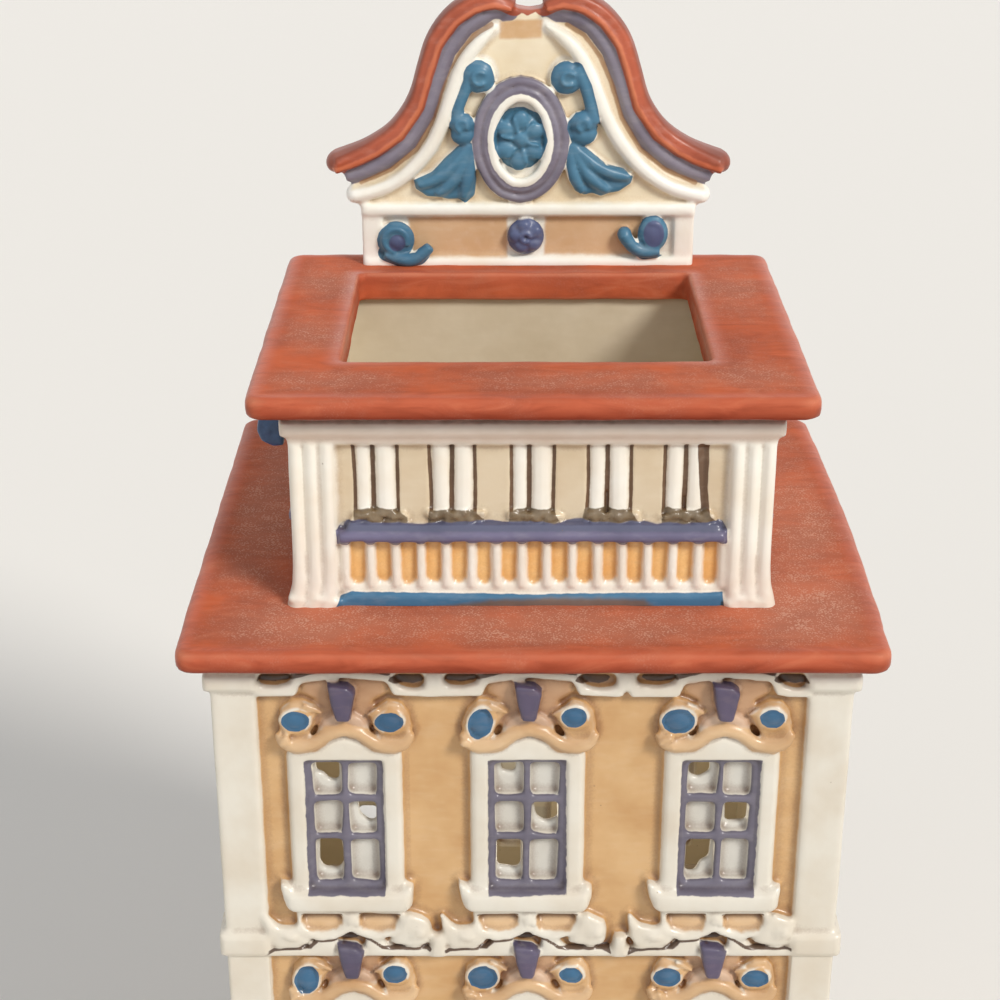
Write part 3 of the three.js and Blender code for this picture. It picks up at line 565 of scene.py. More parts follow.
CREST_HEART = [(-3.6, 26.6), (3.9, 26.6), (3.0, 28.8), (1.4, 29.9), (-1.0, 29.9), (-2.7, 28.8)]
KEYSTONE = [(-0.75, 29.3), (1.1, 29.2), (1.55, 31.4), (1.95, 33.6), (0.9, 34.6), (-1.8, 34.9), (-1.4, 31.8)]
CORNICE = [
    (-12.9, 32.4), (-6.1, 32.5), (-5.5, 34.4), (0.2, 35.3), (6.1, 34.7), (6.9, 32.6), (12.9, 32.3),
    (12.9, 33.9), (11.2, 33.8), (9.6, 33.5), (7.8, 34.0), (6.4, 36.0), (0.2, 36.7), (-6.0, 36.0),
    (-7.0, 34.4), (-9.0, 33.9), (-11.2, 34.2), (-12.9, 34.0),
]
LENSES = (
    [(-11.3, 34.9), (-10.6, 34.5), (-9.0, 34.3), (-7.3, 34.6), (-6.2, 35.3), (-6.6, 35.6), (-11.0, 35.5)],
    [(6.3, 35.0), (6.6, 35.5), (10.6, 35.4), (11.2, 34.9), (10.8, 34.3), (9.6, 34.0), (7.8, 34.3)],
)
EAVE_LINE = [(-6.4, 35.7), (-3.0, 36.6), (0.2, 36.9), (3.2, 36.8), (6.4, 36.1)]
FACADE_AREAS = (
    "white", "white_strokes", "sash", "panes", "crest", "crest_strokes", "blue", "rims", "stones", "brown",
    "brown_strokes", "rosy", "rosy_strokes", "door", "shade",
)
# Holes that the maker cut right through a pane by hand, so that no two are alike.
PIERCED = (
    (
        [(-4.1, 21.6), (-0.8, 21.6), (-0.8, 18.0), (-2.2, 18.1), (-3.0, 19.2), (-4.1, 19.4)],
        [(1.5, 14.9), (4.2, 14.9), (4.2, 11.7), (3.2, 11.1), (1.9, 12.4)],
        [(-3.9, 9.1), (-0.9, 9.1), (-0.6, 4.8), (-1.4, 3.4), (-3.5, 3.6), (-4.1, 4.6)],
    ),
    (
        [(-3.6, 21.5), (-1.8, 21.5), (-1.7, 19.4), (-3.5, 19.3)],
        [(0.9, 15.2), (1.3, 15.3), (4.3, 15.2), (4.3, 11.9), (2.6, 11.2), (1.2, 12.3)],
        [(-4.1, 9.2), (-0.8, 9.2), (-0.9, 4.4), (-1.4, 3.6), (-4.0, 3.9)],
    ),
    (
        [(-4.2, 21.6), (-1.5, 21.6), (-1.4, 19.3), (-2.8, 18.4), (-4.1, 18.9)],
        [(1.1, 15.2), (4.1, 15.2), (4.1, 11.4), (1.2, 11.3)],
        [(-4.2, 9.1), (-0.8, 9.2), (-1.0, 5.2), (-2.2, 4.6), (-2.8, 3.0), (-4.2, 3.0)],
    ),
)


def window(clay, knife, areas, x, sill, holes, draw, rich):
    """The surround, sash and sill of one window. Rich windows have the facade's uneven surround."""
    surround = moved(SURROUND if rich else PLAIN_SURROUND, x, sill)
    slab_of(clay, surround, -1.0, 1.6, 0.95, 3)
    sill_board = moved(SILL, x, sill)
    slab_of(clay, sill_board, -1.0, 2.9, 1.1, 3)
    areas["white"] += [surround, sill_board]
    for horn in (HORN_LEFT, HORN_RIGHT):
        ear = shaky(moved(horn, x, sill), 0.12, draw)
        slab_of(clay, ear, -1.0, 2.3, 0.8, 3)
        areas["white"].append(ear)
    left, right, foot, head = SASH
    box_of(knife, x + left, x + right, sill + foot, sill + head, 0.85, 5.0)
    box_of(knife, x - 4.9, x + 4.9, sill + 2.0, sill + 22.0, -WALL - 3, -2.0)
    sash = rect(x + left, x + right, sill + foot - 0.35, sill + head)
    areas["sash"].append(shaky(sash, 0.12, draw))
    for low, high in PANE_ROWS:
        for middle in (-2.45, 2.45):
            reach = [
                (-1.75, low), (1.75, low), (1.95, low + 0.3), (1.95, high - 0.3), (1.75, high), (-1.75, high),
                (-1.95, high - 0.3), (-1.95, low + 0.3),
            ]
            pane = shaky(moved(reach, x + middle, sill), 0.1, draw)
            slab_of(knife, pane, -0.75, 5.0)
            areas["panes"].append(pane)
    for hole in holes:
        slab_of(knife, shaky(moved(hole, x, sill), 0.08, draw), -3.0, 5.0)


def apron(clay, knife, areas, x, sill, draw):
    """The relief below a sill: two sunk tan panels and leaves at both sides."""
    slab_of(clay, moved(APRON, x, sill), -1.0, 1.35, 0.3)
    roll_of(clay, moved(APRON_RIM, x, sill), (0.5, 0.6, 0.6, 0.5, 0.45, 0.5, 0.6, 0.5), 1.35)
    for side in (-1, 1):
        sunk = shaky(moved(SUNK, x + 0.15, sill, -side), 0.1, draw)
        slab_of(knife, sunk, 0.8, 5.0)
        low, high = sorted((x + 0.15 + side * 1.3, x + 0.15 + side * 6.8))
        slab_of(knife, rect(low, high, sill - 4.2, sill - 2.9), 0.1, 5.0)
        areas["crest"].append(sunk)
        # The upper part of each sunk panel: painted shade. Its top edge gets a dark brown line of painted
        # shadow.
        areas["shade"].append(rect(low - 0.1, high + 0.1, sill - 3.9, sill - 2.7))
        areas["brown_strokes"].append(([sunk[0], sunk[1]], 0.3))
    leaves = [shaky(moved(outline, x, sill), 0.12, draw) for outline in (LEAF_LEFT, LEAF_RIGHT)]
    for leaf in leaves:
        slab_of(clay, leaf, -1.0, 1.9, 0.75, 3)
    areas["white"] += [moved(APRON, x, sill), *leaves]


def apron_lumps(clay, x, sill, draw):
    """What is pressed on after the panels are sunk: the knob and the leaves' folds."""
    ball_of(clay, x + 0.3, sill - 3.8, 0.9, 0.95, 1.25, 0.9, 20)
    ball_of(clay, x + 1.1, sill - 4.4, 0.9, 0.6, 0.7, 0.9)
    roll_of(clay, moved([(-9.4, -7.0), (-10.8, -5.4), (-12.1, -3.0)], x, sill), (1.0, 0.8, 0.3), 1.0)
    roll_of(clay, moved([(9.2, -6.4), (8.9, -4.4), (8.5, -2.8)], x, sill), (0.9, 0.75, 0.3), 1.3)
    ball_of(clay, x - 8.4, sill - 6.4, 1.0, 1.9, 0.95, 1.3, draw.normal(12, 6))
    ball_of(clay, x + 10.0, sill - 5.6, 0.9, 1.3, 1.3, 1.5, draw.normal(-15, 8))


# The blue roundels of each window: middle, half width, half height and turn, left one and right one.
EYES = (
    ((-6.3, 28.9, 1.95, 1.6, 0), (6.4, 28.7, 2.0, 1.5, 5)),
    ((-6.4, 28.5, 1.75, 2.5, -14), (6.3, 29.5, 1.8, 1.5, 0)),
    ((-6.2, 28.9, 2.25, 1.95, 0), (6.5, 29.3, 1.7, 1.45, -8)),
)


def crest(clay, areas, x, sill, draw, rich, eyes):
    """The rolled brow over a window, its lobes with their blue roundels, the field and the keystone."""
    brow = moved(BROW, x, sill)
    roll_of(clay, brow, (0.5, 1.0, 1.2, 1.05, 0.95, 0.95, 0.95, 1.05, 1.2, 1.0, 0.5), 1.35, 0.85)
    if rich:
        for _ in range(5):
            ball_of(
                clay, x - 7.9 + draw.normal(0, 0.5), sill + 26.0 + draw.normal(0, 0.4), 2.1, 0.5, 0.4, 0.5
            )
    lobes = [shaky(moved(outline, x, sill), 0.12, draw) for outline in (LOBE_LEFT, LOBE_RIGHT)]
    for lobe in lobes:
        slab_of(clay, lobe, -1.0, 1.35, 0.6)
    field = moved(CREST_FIELD, x, sill)
    slab_of(clay, field, -1.0, 0.6, 0.3)
    slab_of(clay, moved(CREST_HEART, x, sill), -1.0, 1.5, 0.7, 3)
    areas["crest"] += lobes
    areas["rosy"].append(field)
    areas["crest_strokes"].append((brow, 2.2))
    for u, v, rx, rz, turn in eyes:
        wide, tall = rx + draw.normal(0, 0.06), rz + draw.normal(0, 0.06)
        ball_of(clay, x + u, sill + v, 0.7, wide + 0.1, tall + 0.1, 1.3, turn)
        rim = ring(x + u, sill + v, wide + 0.15, tall + 0.15, turn)
        roll_of(clay, [*rim, rim[0]], [0.34] * 19, 1.5)
        areas["blue"].append(shaky(ring(x + u, sill + v, wide, tall, turn), 0.06, draw))
        areas["rims"].append(ring(x + u + 0.1, sill + v + 0.2, wide + 0.2, tall + 0.22, turn))
    roll_of(clay, moved([(-5.2, 31.4), (-3.8, 30.7), (-2.7, 30.0)], x, sill), (0.4, 0.4, 0.25), 1.45)
    roll_of(clay, moved([(4.9, 30.6), (4.0, 30.1), (3.3, 29.7)], x, sill), (0.35, 0.4, 0.25), 1.45)
    stone = moved(KEYSTONE, x, sill)
    slab_of(clay, stone, 0, 2.9, 0.55, 3)
    areas["stones"].append(stone)
    # Rosy brown strokes beside the keystone, wider on its left: painted shade next to the keystone.
    areas["rosy_strokes"] += [
        (moved([(-2.6, 33.6), (-2.2, 31.4)], x, sill), 2.6), (moved([(3.2, 33.4), (3.0, 31.6)], x, sill), 1.6)
    ]


def across_bay(outline, x, sill, bays, inner):
    """An outline in its bay, with its ends drawn out to the next bay or to the pilaster."""
    stretch = (BAY_HALF if len(bays) == 3 else SIDE_BAY_HALF) / BAY_HALF
    drawn = [(x + u * (stretch if abs(u) > 12 else 1), sill + v) for u, v in outline]
    return [(max(-inner, min(inner, u)), v) for u, v in drawn]


def wall_ends(clay, areas, storey, low, high, half, inner, ends):
    """A pilaster at each end, with its course or plinth and, at the top, its cap. A side wall's are thin and
    stay a little further in, where they meet the ends of the front and rear walls."""
    sill = SILLS[storey]
    back = -WALL - 1 if ends else -1.0
    shy = 0.0 if ends else 0.25
    past = 0.9 if ends else 0.0
    for side in (-1, 1):
        box_of(clay, side * inner, side * half, low, high, back, 1.2 - shy, 0.35)
        if storey == 0:
            reach = half + 1.0 if ends else half
            box_of(clay, side * reach, -side * reach, low, 6.4, back, 2.2 - shy, 0.6)
            continue
        box_of(clay, side * (inner - 0.4), side * (half + past), sill - 9.9, sill - 6.0, back, 2.2 - shy, 0.9)
        areas["white"].append(rect(side * (inner - 0.4), side * 60, sill - 10.0, sill - 5.9))
        if storey == 2:
            box_of(clay, side * (inner - 0.4), side * (half + past), 125.5, 128.1, back, 2.2 - shy, 0.9)
            rim = half + 0.2 if ends else half
            box_of(clay, side * (inner - 0.2), side * rim, 127.5, 129.95, back, 1.4 - shy, 0.4)
            areas["white"].append(rect(side * (inner - 0.4), side * 60, 125.2, 131))


def luted_joint(clay, knife, areas, bays, inner, sill):
    """Where two storeys are joined: white hoods, the stepped knife line, and teeth between the bays."""
    for x in bays:
        hood = across_bay(HOOD, x, sill, bays, inner)
        slab_of(clay, hood, -1.0, 1.75, 0.35)
        areas["white"].append(hood)
        areas["brown_strokes"].append((moved(JOINT_LINE, x, sill), 0.46))
        roll_of(knife, moved(JOINT_LINE, x, sill), [0.3] * len(JOINT_LINE), 1.75, 1.8)
        other_ear = [(-u, v) for u, v in JOINT_EAR[::-1]]
        areas["brown"] += [
            moved(JOINT_EAR, x, sill), moved(JOINT_HOLE, x, sill), moved(other_ear, x, sill + 0.3)
        ]
    for x, y in zip(bays, bays[1:]):
        gap, head, foot = (x + y) / 2, sill - 6.2, sill - 9.95
        tooth = [(gap - 0.75, head), (gap + 0.75, head), (gap + 1.25, foot), (gap - 1.25, foot)]
        slab_of(clay, tooth, -1.0, 2.25, 0.6)
        areas["white"].append(tooth)


def eaves(clay, lumps, areas, bays, inner, draw, rich):
    """The top of the upper storey: its crests, the white cornice that steps over them with its dark lenses,
    and pegs between the bays. The keystones of the storey below reach up into this one."""
    sill = SILLS[2]
    for index, x in enumerate(bays):
        crest(lumps, areas, x, sill, draw, rich, EYES[index % 3])
        stone = moved(KEYSTONE, x, SILLS[1] + LOW_CREST)
        slab_of(lumps, stone, 0, 2.9, 0.55, 3)
        areas["stones"].append(stone)
        cornice = across_bay(CORNICE, x, sill, bays, inner)
        slab_of(clay, cornice, -1.0, 1.6, 0.35)
        areas["white"].append(cornice)
        areas["brown"] += [moved(lens, x, sill) for lens in LENSES]
        areas["brown_strokes"].append((moved(EAVE_LINE, x, sill), 0.7))
    for x, y in zip(bays, bays[1:]):
        gap, foot, head = (x + y) / 2, sill + 33.4, sill + 36.4
        peg = [(gap - 1.5, foot), (gap + 1.5, foot), (gap + 1.1, head), (gap - 1.1, head)]
        slab_of(clay, peg, -1.0, 1.7, 0.6)
        areas["white"].append(peg)
    roll_of(clay, [(-inner, sill + 36.2), (0, sill + 36.3), (inner, sill + 36.2)], (0.55, 0.55, 0.55), 0.5)
    areas["white_strokes"].append(([(-inner, sill + 36.9), (inner, sill + 36.9)], 1.6))


def paint_storey(mesh, areas, storey, inner):
    """Keeps, for each coat of the facade's colours, how far inside it each point of a storey lies."""
    x, depth, z = points_of(mesh)

    def most(key):
        return reach_of(x, z, areas[key], areas.get(key + "_strokes", ()))

    outside = depth + 0.4
    crests, rims, panes = most("crest"), most("rims"), most("panes")
    field = np.minimum(inner - 0.1 - np.abs(x), z - (6.6 if storey == 0 else -1))
    low_relief = 0.75 - depth + np.maximum(crests, 0)
    keep(mesh, "tan", np.minimum.reduce([field, -most("white") + 0.1, outside, low_relief]))
    keep(mesh, "crest", np.minimum.reduce([crests, -rims, outside, inner - np.abs(x)]))
    # Rosy: a wash on the crest fields; beside the keystones and in the band under the eave, painted shade.
    under = np.minimum(z - 128.4, 2.2 - depth)
    keep(mesh, "rosy", np.maximum(np.minimum.reduce([most("rosy"), -rims, outside]), under))
    keep(mesh, "pane", np.minimum(panes, 0.3 - depth))
    keep(mesh, "purple", np.minimum.reduce([most("sash"), -panes + 0.12, depth - 0.25]))
    keep(mesh, "stone", np.minimum(most("stones") + 0.1, depth - 1.0))
    keep(mesh, "shade", np.minimum.reduce([most("shade"), crests, 0.9 - depth]))
    keep(mesh, "blue", np.minimum(most("blue"), depth - 0.8))
    keep(mesh, "brown", np.minimum.reduce([most("brown"), outside, 1.9 - depth]))
    keep(mesh, "door", np.minimum(most("door"), -0.6 - depth))
    # Inner faces: bisque coloured darker as painted shade for the dim inside.
    keep(mesh, "bare_and_shade", -2.6 - depth)


def wall_storey(name, place, nodes, storey, bays, half, pilaster, facet, rich=False, ends=True, opening=None):
    """One storey of one wall. Its skin, its relief and its paint are worked out from the bays along it."""
    draw = np.random.default_rng(17 + storey)
    foot, head, sill = STOREY_SEAMS[storey], STOREY_SEAMS[storey + 1], SILLS[storey]
    top = storey == 2
    inner = half - pilaster
    low, high = foot - 2.0, head + (0.0 if top else 2.0)
    clay, knife, lumps = bmesh.new(), bmesh.new(), bmesh.new()
    areas = {key: [] for key in FACADE_AREAS}
    box_of(clay, -half, half, low, high, -WALL - 1, 0.0)
    wall_ends(clay, areas, storey, low, high, half, inner, ends)
    for index, x in enumerate(bays):
        if opening and abs(x - opening["middle"]) < opening["clear"]:
            continue
        holes = PIERCED[index % 3]
        if not rich:
            holes = [[(-u, v) for u, v in hole[::-1]] for hole in holes]
        window(clay, knife, areas, x, sill, holes, draw, rich)
        if storey:
            apron(clay, knife, areas, x, sill, draw)
            apron_lumps(lumps, x, sill, draw)
    if storey:
        luted_joint(clay, knife, areas, bays, inner, sill)
    if storey == 1:
        for index, x in enumerate(bays):
            crest(lumps, areas, x, sill + LOW_CREST, draw, rich, EYES[(index + 1) % 3])
    if top:
        eaves(clay, lumps, areas, bays, inner, draw, rich)
    if opening:
        opening["build"](clay, knife, areas)
    planes = [((0, WALL, 0), (0, 1, 0)), ((0, 0, foot), (0, 0, -1))]
    if not top:
        planes.append(((0, 0, head), (0, 0, 1)))
    mesh = carved_and_pressed(clay, knife, lumps, facet, planes)
    hollows(mesh)
    paint_storey(mesh, areas, storey, inner)
    placed(mesh, name, place, "house", facade_paint, nodes)


def arch(half, foot, spring, rise):
    """The outline of an opening with a low arch."""
    return [(-half, foot), (half, foot), *curled(0, spring, half, rise, 0, math.pi, 13)]


def front_doorway(clay, knife, areas):
    """An arched door at the front: a frame, two leaves with sunk panels, and a step."""
    slab_of(clay, arch(8.8, 2.0, 21.5, 8.0), -1.0, 1.8, 0.5)
    stone = [(-1.5, 27.2), (1.5, 27.2), (2.1, 31.0), (-2.1, 31.0)]
    slab_of(clay, stone, -1.0, 2.6, 0.6)
    slab_of(knife, arch(6.4, 3.2, 21.5, 5.6), -1.4, 6.0)
    box_of(clay, -9.4, 9.4, -2.0, 3.2, -1.0, 3.4, 0.5)
    areas["door"].append(arch(6.4, 3.2, 21.5, 5.6))
    for side in (-1, 1):
        for low, high in ((6.5, 12.5), (14.0, 21.0)):
            slab_of(knife, rect(side * 0.9, side * 4.7, low, high), -2.0, 6.0)
    box_of(knife, -0.16, 0.16, 3.2, 27.0, -1.9, 6.0)
    areas["white"].append(arch(8.8, -1.0, 21.5, 8.0))
    areas["stones"].append(stone)


def rear_doorway(clay, knife, areas):
    """The wide arched opening at the back, through which the light is put in."""
    slab_of(clay, arch(24.1, 2.0, 20.0, 16.6), -1.0, 2.4, 0.7)
    slab_of(knife, arch(21.5, 5.0, 20.0, 14.0), -WALL - 3, 8.0)
    areas["white"].append(arch(24.1, -1.0, 20.0, 16.6))


FRONT = Matrix.Translation((0, -FIELD_FRONT, 0))
REAR = Matrix.Rotation(math.pi, 4, "Z") @ Matrix.Translation((0, -FIELD_FRONT, 0))
LEFT = Matrix.Rotation(-math.pi / 2, 4, "Z") @ Matrix.Translation((0, -FIELD_SIDE, 0))
RIGHT = Matrix.Rotation(math.pi / 2, 4, "Z") @ Matrix.Translation((0, -FIELD_SIDE, 0))
FRONT_BAYS = (-25.7, -0.6, 26.0)
REAR_BAYS = (-25.8, 0.0, 25.8)
SIDE_BAYS = (-16.4, 16.4)
STOREYS = ("ground", "middle", "upper")


def window_nodes(storey):
    """The CAD nodes of a front storey's windows, which the painted wall stands for."""
    kinds = ("lattice", "crest", "keystone") if storey else ("lattice",)
    sides = ("left", "centre", "right") if storey else ("left", "right")
    return [f"{kind}_{STOREYS[storey]}_{side}" for kind in kinds for side in sides]


# The front is cast in the finest facets that the limit on a piece's triangles allows.
FRONT_FACETS = (0.27, 0.28, 0.305)
for storey, label in enumerate(STOREYS):
    way_in = {"middle": -0.6, "clear": 12, "build": front_doorway} if storey == 0 else None
    nodes = ["front_wall", *window_nodes(storey), *([] if storey else ["front_door"])]
    wall_storey(
        f"front_wall_{label}_skin", FRONT, nodes, storey, FRONT_BAYS, FRONT_HALF, PILASTER,
        FRONT_FACETS[storey], rich=True, opening=way_in,
    )
    way_out = {"middle": 0, "clear": 60, "build": rear_doorway} if storey == 0 else None
    wall_storey(
        f"rear_wall_{label}_skin", REAR, ["rear_wall"], storey, REAR_BAYS, FRONT_HALF, PILASTER, 0.40,
        opening=way_out,
    )
    for side, place in (("left", LEFT), ("right", RIGHT)):
        wall_storey(
            f"{side}_wall_{label}_skin", place, [f"{side}_wall"], storey, SIDE_BAYS, SIDE_HALF, CORNER_STRIP,
            0.39, ends=False,
        )


# Roofs. Two cast plates, each with a square hole, brushed with a terracotta underglaze that is rich and a
# little glossy where it lies thick along the edges, and dusty with rubbed-in speckles on the flat tops.
FLAT = Matrix(((1, 0, 0, 0), (0, 0, 1, 0), (0, -1, 0, 0), (0, 0, 0, 1)))


def terracotta(name):
    """Terracotta colour brushed over bisque, satin at the edges and dull on top. The arises get a painted
    highlight with wear, the sides painted shade that darkens towards the bottom, and the hollows painted
    shade with grime. The plate keeps edge, the distance from its edge in mm, side, how far down its side a
    point lies, and dust, how much pale dust lies rubbed into the colour."""
    finish, tree, spot = new_finish(name)
    edge = node(tree, "Attribute", attribute_name="edge").outputs["Fac"]
    side = node(tree, "Attribute", attribute_name="side").outputs["Fac"]
    dust = node(tree, "Attribute", attribute_name="dust").outputs["Fac"]
    depth = node(tree, "Attribute", attribute_name="hollow").outputs["Fac"]
    clouds = node(
        tree, "TexNoise", {"Vector": spot, "Scale": 1 / 0.011, "Detail": 4.0, "Roughness": 0.6}
    ).outputs[0]
    gather = node(
        tree, "TexNoise", {"Vector": spot, "Scale": 1 / 0.0022, "Detail": 4.0, "Roughness": 0.6}
    ).outputs[0]
    specks = node(
        tree, "TexVoronoi", {"Vector": spot, "Scale": 1 / 0.00033, "Randomness": 1.0}
    ).outputs["Distance"]
    stretched = node(tree, "Mapping", {"Vector": spot, "Scale": (0.25, 0.8, 1.0)}).outputs[0]
    strokes = node(
        tree, "TexNoise", {"Vector": stretched, "Scale": 1 / 0.0026, "Detail": 5.0, "Distortion": 1.6}
    ).outputs[0]
    tone = node(tree, "MapRange", {"Value": clouds, "From Min": 0.38, "From Max": 0.66}).outputs[0]
    colour = node(
        tree, "Mix", {0: tone, 6: linear("#c96643"), 7: linear("#a04c33")}, data_type="RGBA"
    ).outputs[2]
    veil = node(tree, "Math", {0: clouds, 1: -0.5}, operation="ADD").outputs[0]
    veil = node(tree, "Math", {0: veil, 1: 1.5, 2: dust}, operation="MULTIPLY_ADD", use_clamp=True).outputs[0]
    grains = node(tree, "Math", {0: gather, 1: 1.1, 2: specks}, operation="MULTIPLY_ADD").outputs[0]
    grains = node(
        tree, "MapRange", {"Value": grains, "From Min": 1.0, "From Max": 0.72, "To Max": 0.65}
    ).outputs[0]
    grains = node(tree, "Math", {0: grains, 1: veil}, operation="MULTIPLY").outputs[0]
    # A painted highlight with wear on the convex arises, and painted shade down the sides.
    arris_highlight_and_wear = node(tree, "Math", {0: strokes, 1: -0.08, 2: depth}, operation="MULTIPLY_ADD").outputs[0]
    low = node(tree, "Math", {0: strokes, 1: 0.8, 2: side}, operation="MULTIPLY_ADD").outputs[0]
    # Coats, the undermost first: by what, from where, to where, how much it covers, its colour and blend.
    coats = (
        (edge, 3.2, 0.4, 0.8, "#bd6248", "MIX"),
        (strokes, 0.5, 0.7, 0.35, "#8a3f2c", "MIX"),
        (strokes, 0.46, 0.3, 0.35, "#d07c5c", "MIX"),
        (veil, 0.0, 1.0, 0.6, "#bd806a", "MIX"),
        (grains, 0.0, 1.0, 1.0, "#d9a892", "MIX"),
        # A painted highlight with wear along the arises.
        (arris_highlight_and_wear, -0.2, -0.38, 0.5, "#e29c7d", "MIX"),
        # Painted shade, darker towards the bottom of each side.
        (low, 1.4, 3.2, 0.8, "#a5705f", "MULTIPLY"),
        # Painted shade with grime in the hollows.
        (depth, 0.05, 0.5, 0.7, "#6d3527", "MULTIPLY"),
    )
    for value, start, full, cover, tint, blend in coats:
        over = node(
            tree, "MapRange", {"Value": value, "From Min": start, "From Max": full, "To Max": cover}
        ).outputs[0]
        colour = node(
            tree, "Mix", {0: over, 6: colour, 7: linear(tint)}, data_type="RGBA", blend_type=blend
        ).outputs[2]
    sheen = node(
        tree, "MapRange", {"Value": edge, "From Min": 0.8, "From Max": 3.0, "To Min": 0.34, "To Max": 0.7}
    ).outputs[0]
    mirror = node(
        tree, "MapRange", {"Value": edge, "From Min": 0.8, "From Max": 3.0, "To Min": 0.24, "To Max": 0.08}
    ).outputs[0]
    relief = node(tree, "Math", {0: specks, 1: -0.35, 2: strokes}, operation="MULTIPLY_ADD").outputs[0]
    bump = node(tree, "Bump", {"Height": relief, "Strength": 0.4, "Distance": 0.00012}).outputs[0]
    shader = node(
        tree,
        "BsdfPrincipled",
        {
            "Base Color": colour,
            "Roughness": sheen,
            "Normal": bump,
            "Specular IOR Level": mirror,
            "Specular Tint": linear("#b98270"),
        },
    )
    node(tree, "OutputMaterial", {"Surface": shader.outputs[0]})
    return finish


roof_paint = terracotta("brushed_terracotta_bisque")


def plate(half_x, half_y, corner, bow=0.0):
    """A plate's outline with rounded corners, its right side bowed out as the cast came from the mould."""
    points = []
    for sx, sy, start in ((1, -1, -90), (1, 1, 0), (-1, 1, 90), (-1, -1, 180)):
        for step in range(7):
            a = math.radians(start + 15 * step)
            points.append(
                (sx * (half_x - corner) + corner * math.cos(a), sy * (half_y - corner) + corner * math.sin(a))
            )
    sides = [
        (half_x + bow * math.cos(math.pi / 2 * t), t * (half_y - corner)) for t in (-0.7, -0.35, 0, 0.35, 0.7)
    ]
    return points[:7] + sides + points[7:]


def roof_plate(name, node_name, outline, foot, head, hole, dust, dusting, under=None):
    """One roof plate, laid up flat: depth is its height. Dust is a list of patches (x, y, half widths), as
    strong as dusting; under is a lip (outline, foot) that hangs inside the wall."""
    clay, knife = bmesh.new(), bmesh.new()
    middle = (foot + head) / 2
    slab_of(clay, outline, middle, head, 0.9, 3)
    slab_of(clay, outline, middle, foot, 0.7, 3)
    if under:
        slab_of(clay, under[0], under[1], middle)
    slab_of(knife, hole, foot - 6, head + 6)
    mesh = cast(clay, 0.45, 4, uneven=0.22, knife=knife)
    x, depth, y = points_of(mesh)
    hollows(mesh)
    rim = within(x, y, outline)
    keep(mesh, "edge", np.minimum(rim, np.maximum(-within(x, y, hole), head - depth)))
    keep(mesh, "side", np.where(within(x, y, hole) < -1, head - depth, 0))
    lies = np.zeros(len(x))
    for u, v, rx, ry in dust:
        lies += np.exp(-(((x - u) / rx) ** 2) - ((y - v) / ry) ** 2)
    top = np.clip((depth - head + 0.8) * 2, 0, 1) * np.clip((rim - 1.0) / 2.5, 0, 1)
    keep(mesh, "dust", dusting * np.clip(0.15 + lies, 0, 1) * top)
    placed(mesh, name, FLAT, "house", roof_paint, [node_name])


roof_plate(
    "lower_roof_skin",
    "lower_roof",
    plate(47.5, 42.25, 2.4, 0.8),
    130.0,
    133.2,
    rect(-27.8, 27.8, -22.6, 22.6),
    (
        (2, -34, 24, 6), (37, -28, 9, 10), (40, 2, 6, 18), (-39, 5, 6, 22), (-30, -33, 8, 6),
        (-20, 36, 16, 5), (22, 34, 16, 6),
    ),
    1.0,
)
roof_plate(
    "upper_roof_skin",
    "upper_roof",
    plate(37.7, 32.3, 2.2),
    162.0,
    165.2,
    rect(-25.9, 24.4, -17.6, 21.2),
    ((-31, 18, 5, 8), (31, 14, 5, 12), (-28, -25, 10, 4), (8, -25, 16, 4), (-31, -5, 4, 8), (31, -24, 6, 5)),
    0.6,
    (rect(-27.6, 27.6, -22.4, 22.4), 160.8),
)


# Attic. A low storey between the roofs, cast as four walls: reeded corner pilasters, a coved cornice, pairs
# of half-round balusters in brown-lined slots, a purple roll and ledge, orange flutes and a blue strip.
ATTIC_FOOT = 133.2
ATTIC_PAIRS = (
    (-23.9, -21.4, -18.1), (-13.7, -10.8, -7.7), (-2.8, -0.4, 2.9), (7.5, 10.1, 13.3), (17.8, 20.6, 23.4),
)
attic_paint = painted_bisque(
    "hand_painted_attic_bisque",
    ("#f3f1e7", "#ebe3d3"),
    [
        ("cream", "#d9c8a9", "#c5ac86", 0.8, 0.25, 0.85),
        ("orange", "#f7d08c", "#e7a858", 0.45, 0.15, 0.95),
        ("rosy", "#dac8b8", "#c6b09c", 0.9, 0.2, 0.7),
        ("brown", "#6e4c2e", "#4f3723", 0.12, 0.08, 0.97),
        ("olive", "#7f6c50", "#5a4a35", 0.2, 0.2, 0.97),
        ("purple", "#6f6a88", "#56526c", 0.1, 0.1, 1.0),
        ("ledge", "#5b5f78", "#494d66", 0.4, 0.15, 0.9),
        ("blue", "#447ba0", "#35688c", 0.15, 0.15, 1.0),
        # Umber: dirt over the blue strip, and painted shade on the fillet under the upper roof.
        ("umber", "#8a7460", "#66543f", 0.9, 0.3, 0.85),
        # Inner faces: bisque coloured darker as painted shade for the dim inside.
        ("bare_and_shade", "#d8cbb1", "#c3b497", 0.8, 0.2, 0.9),
    ],
)


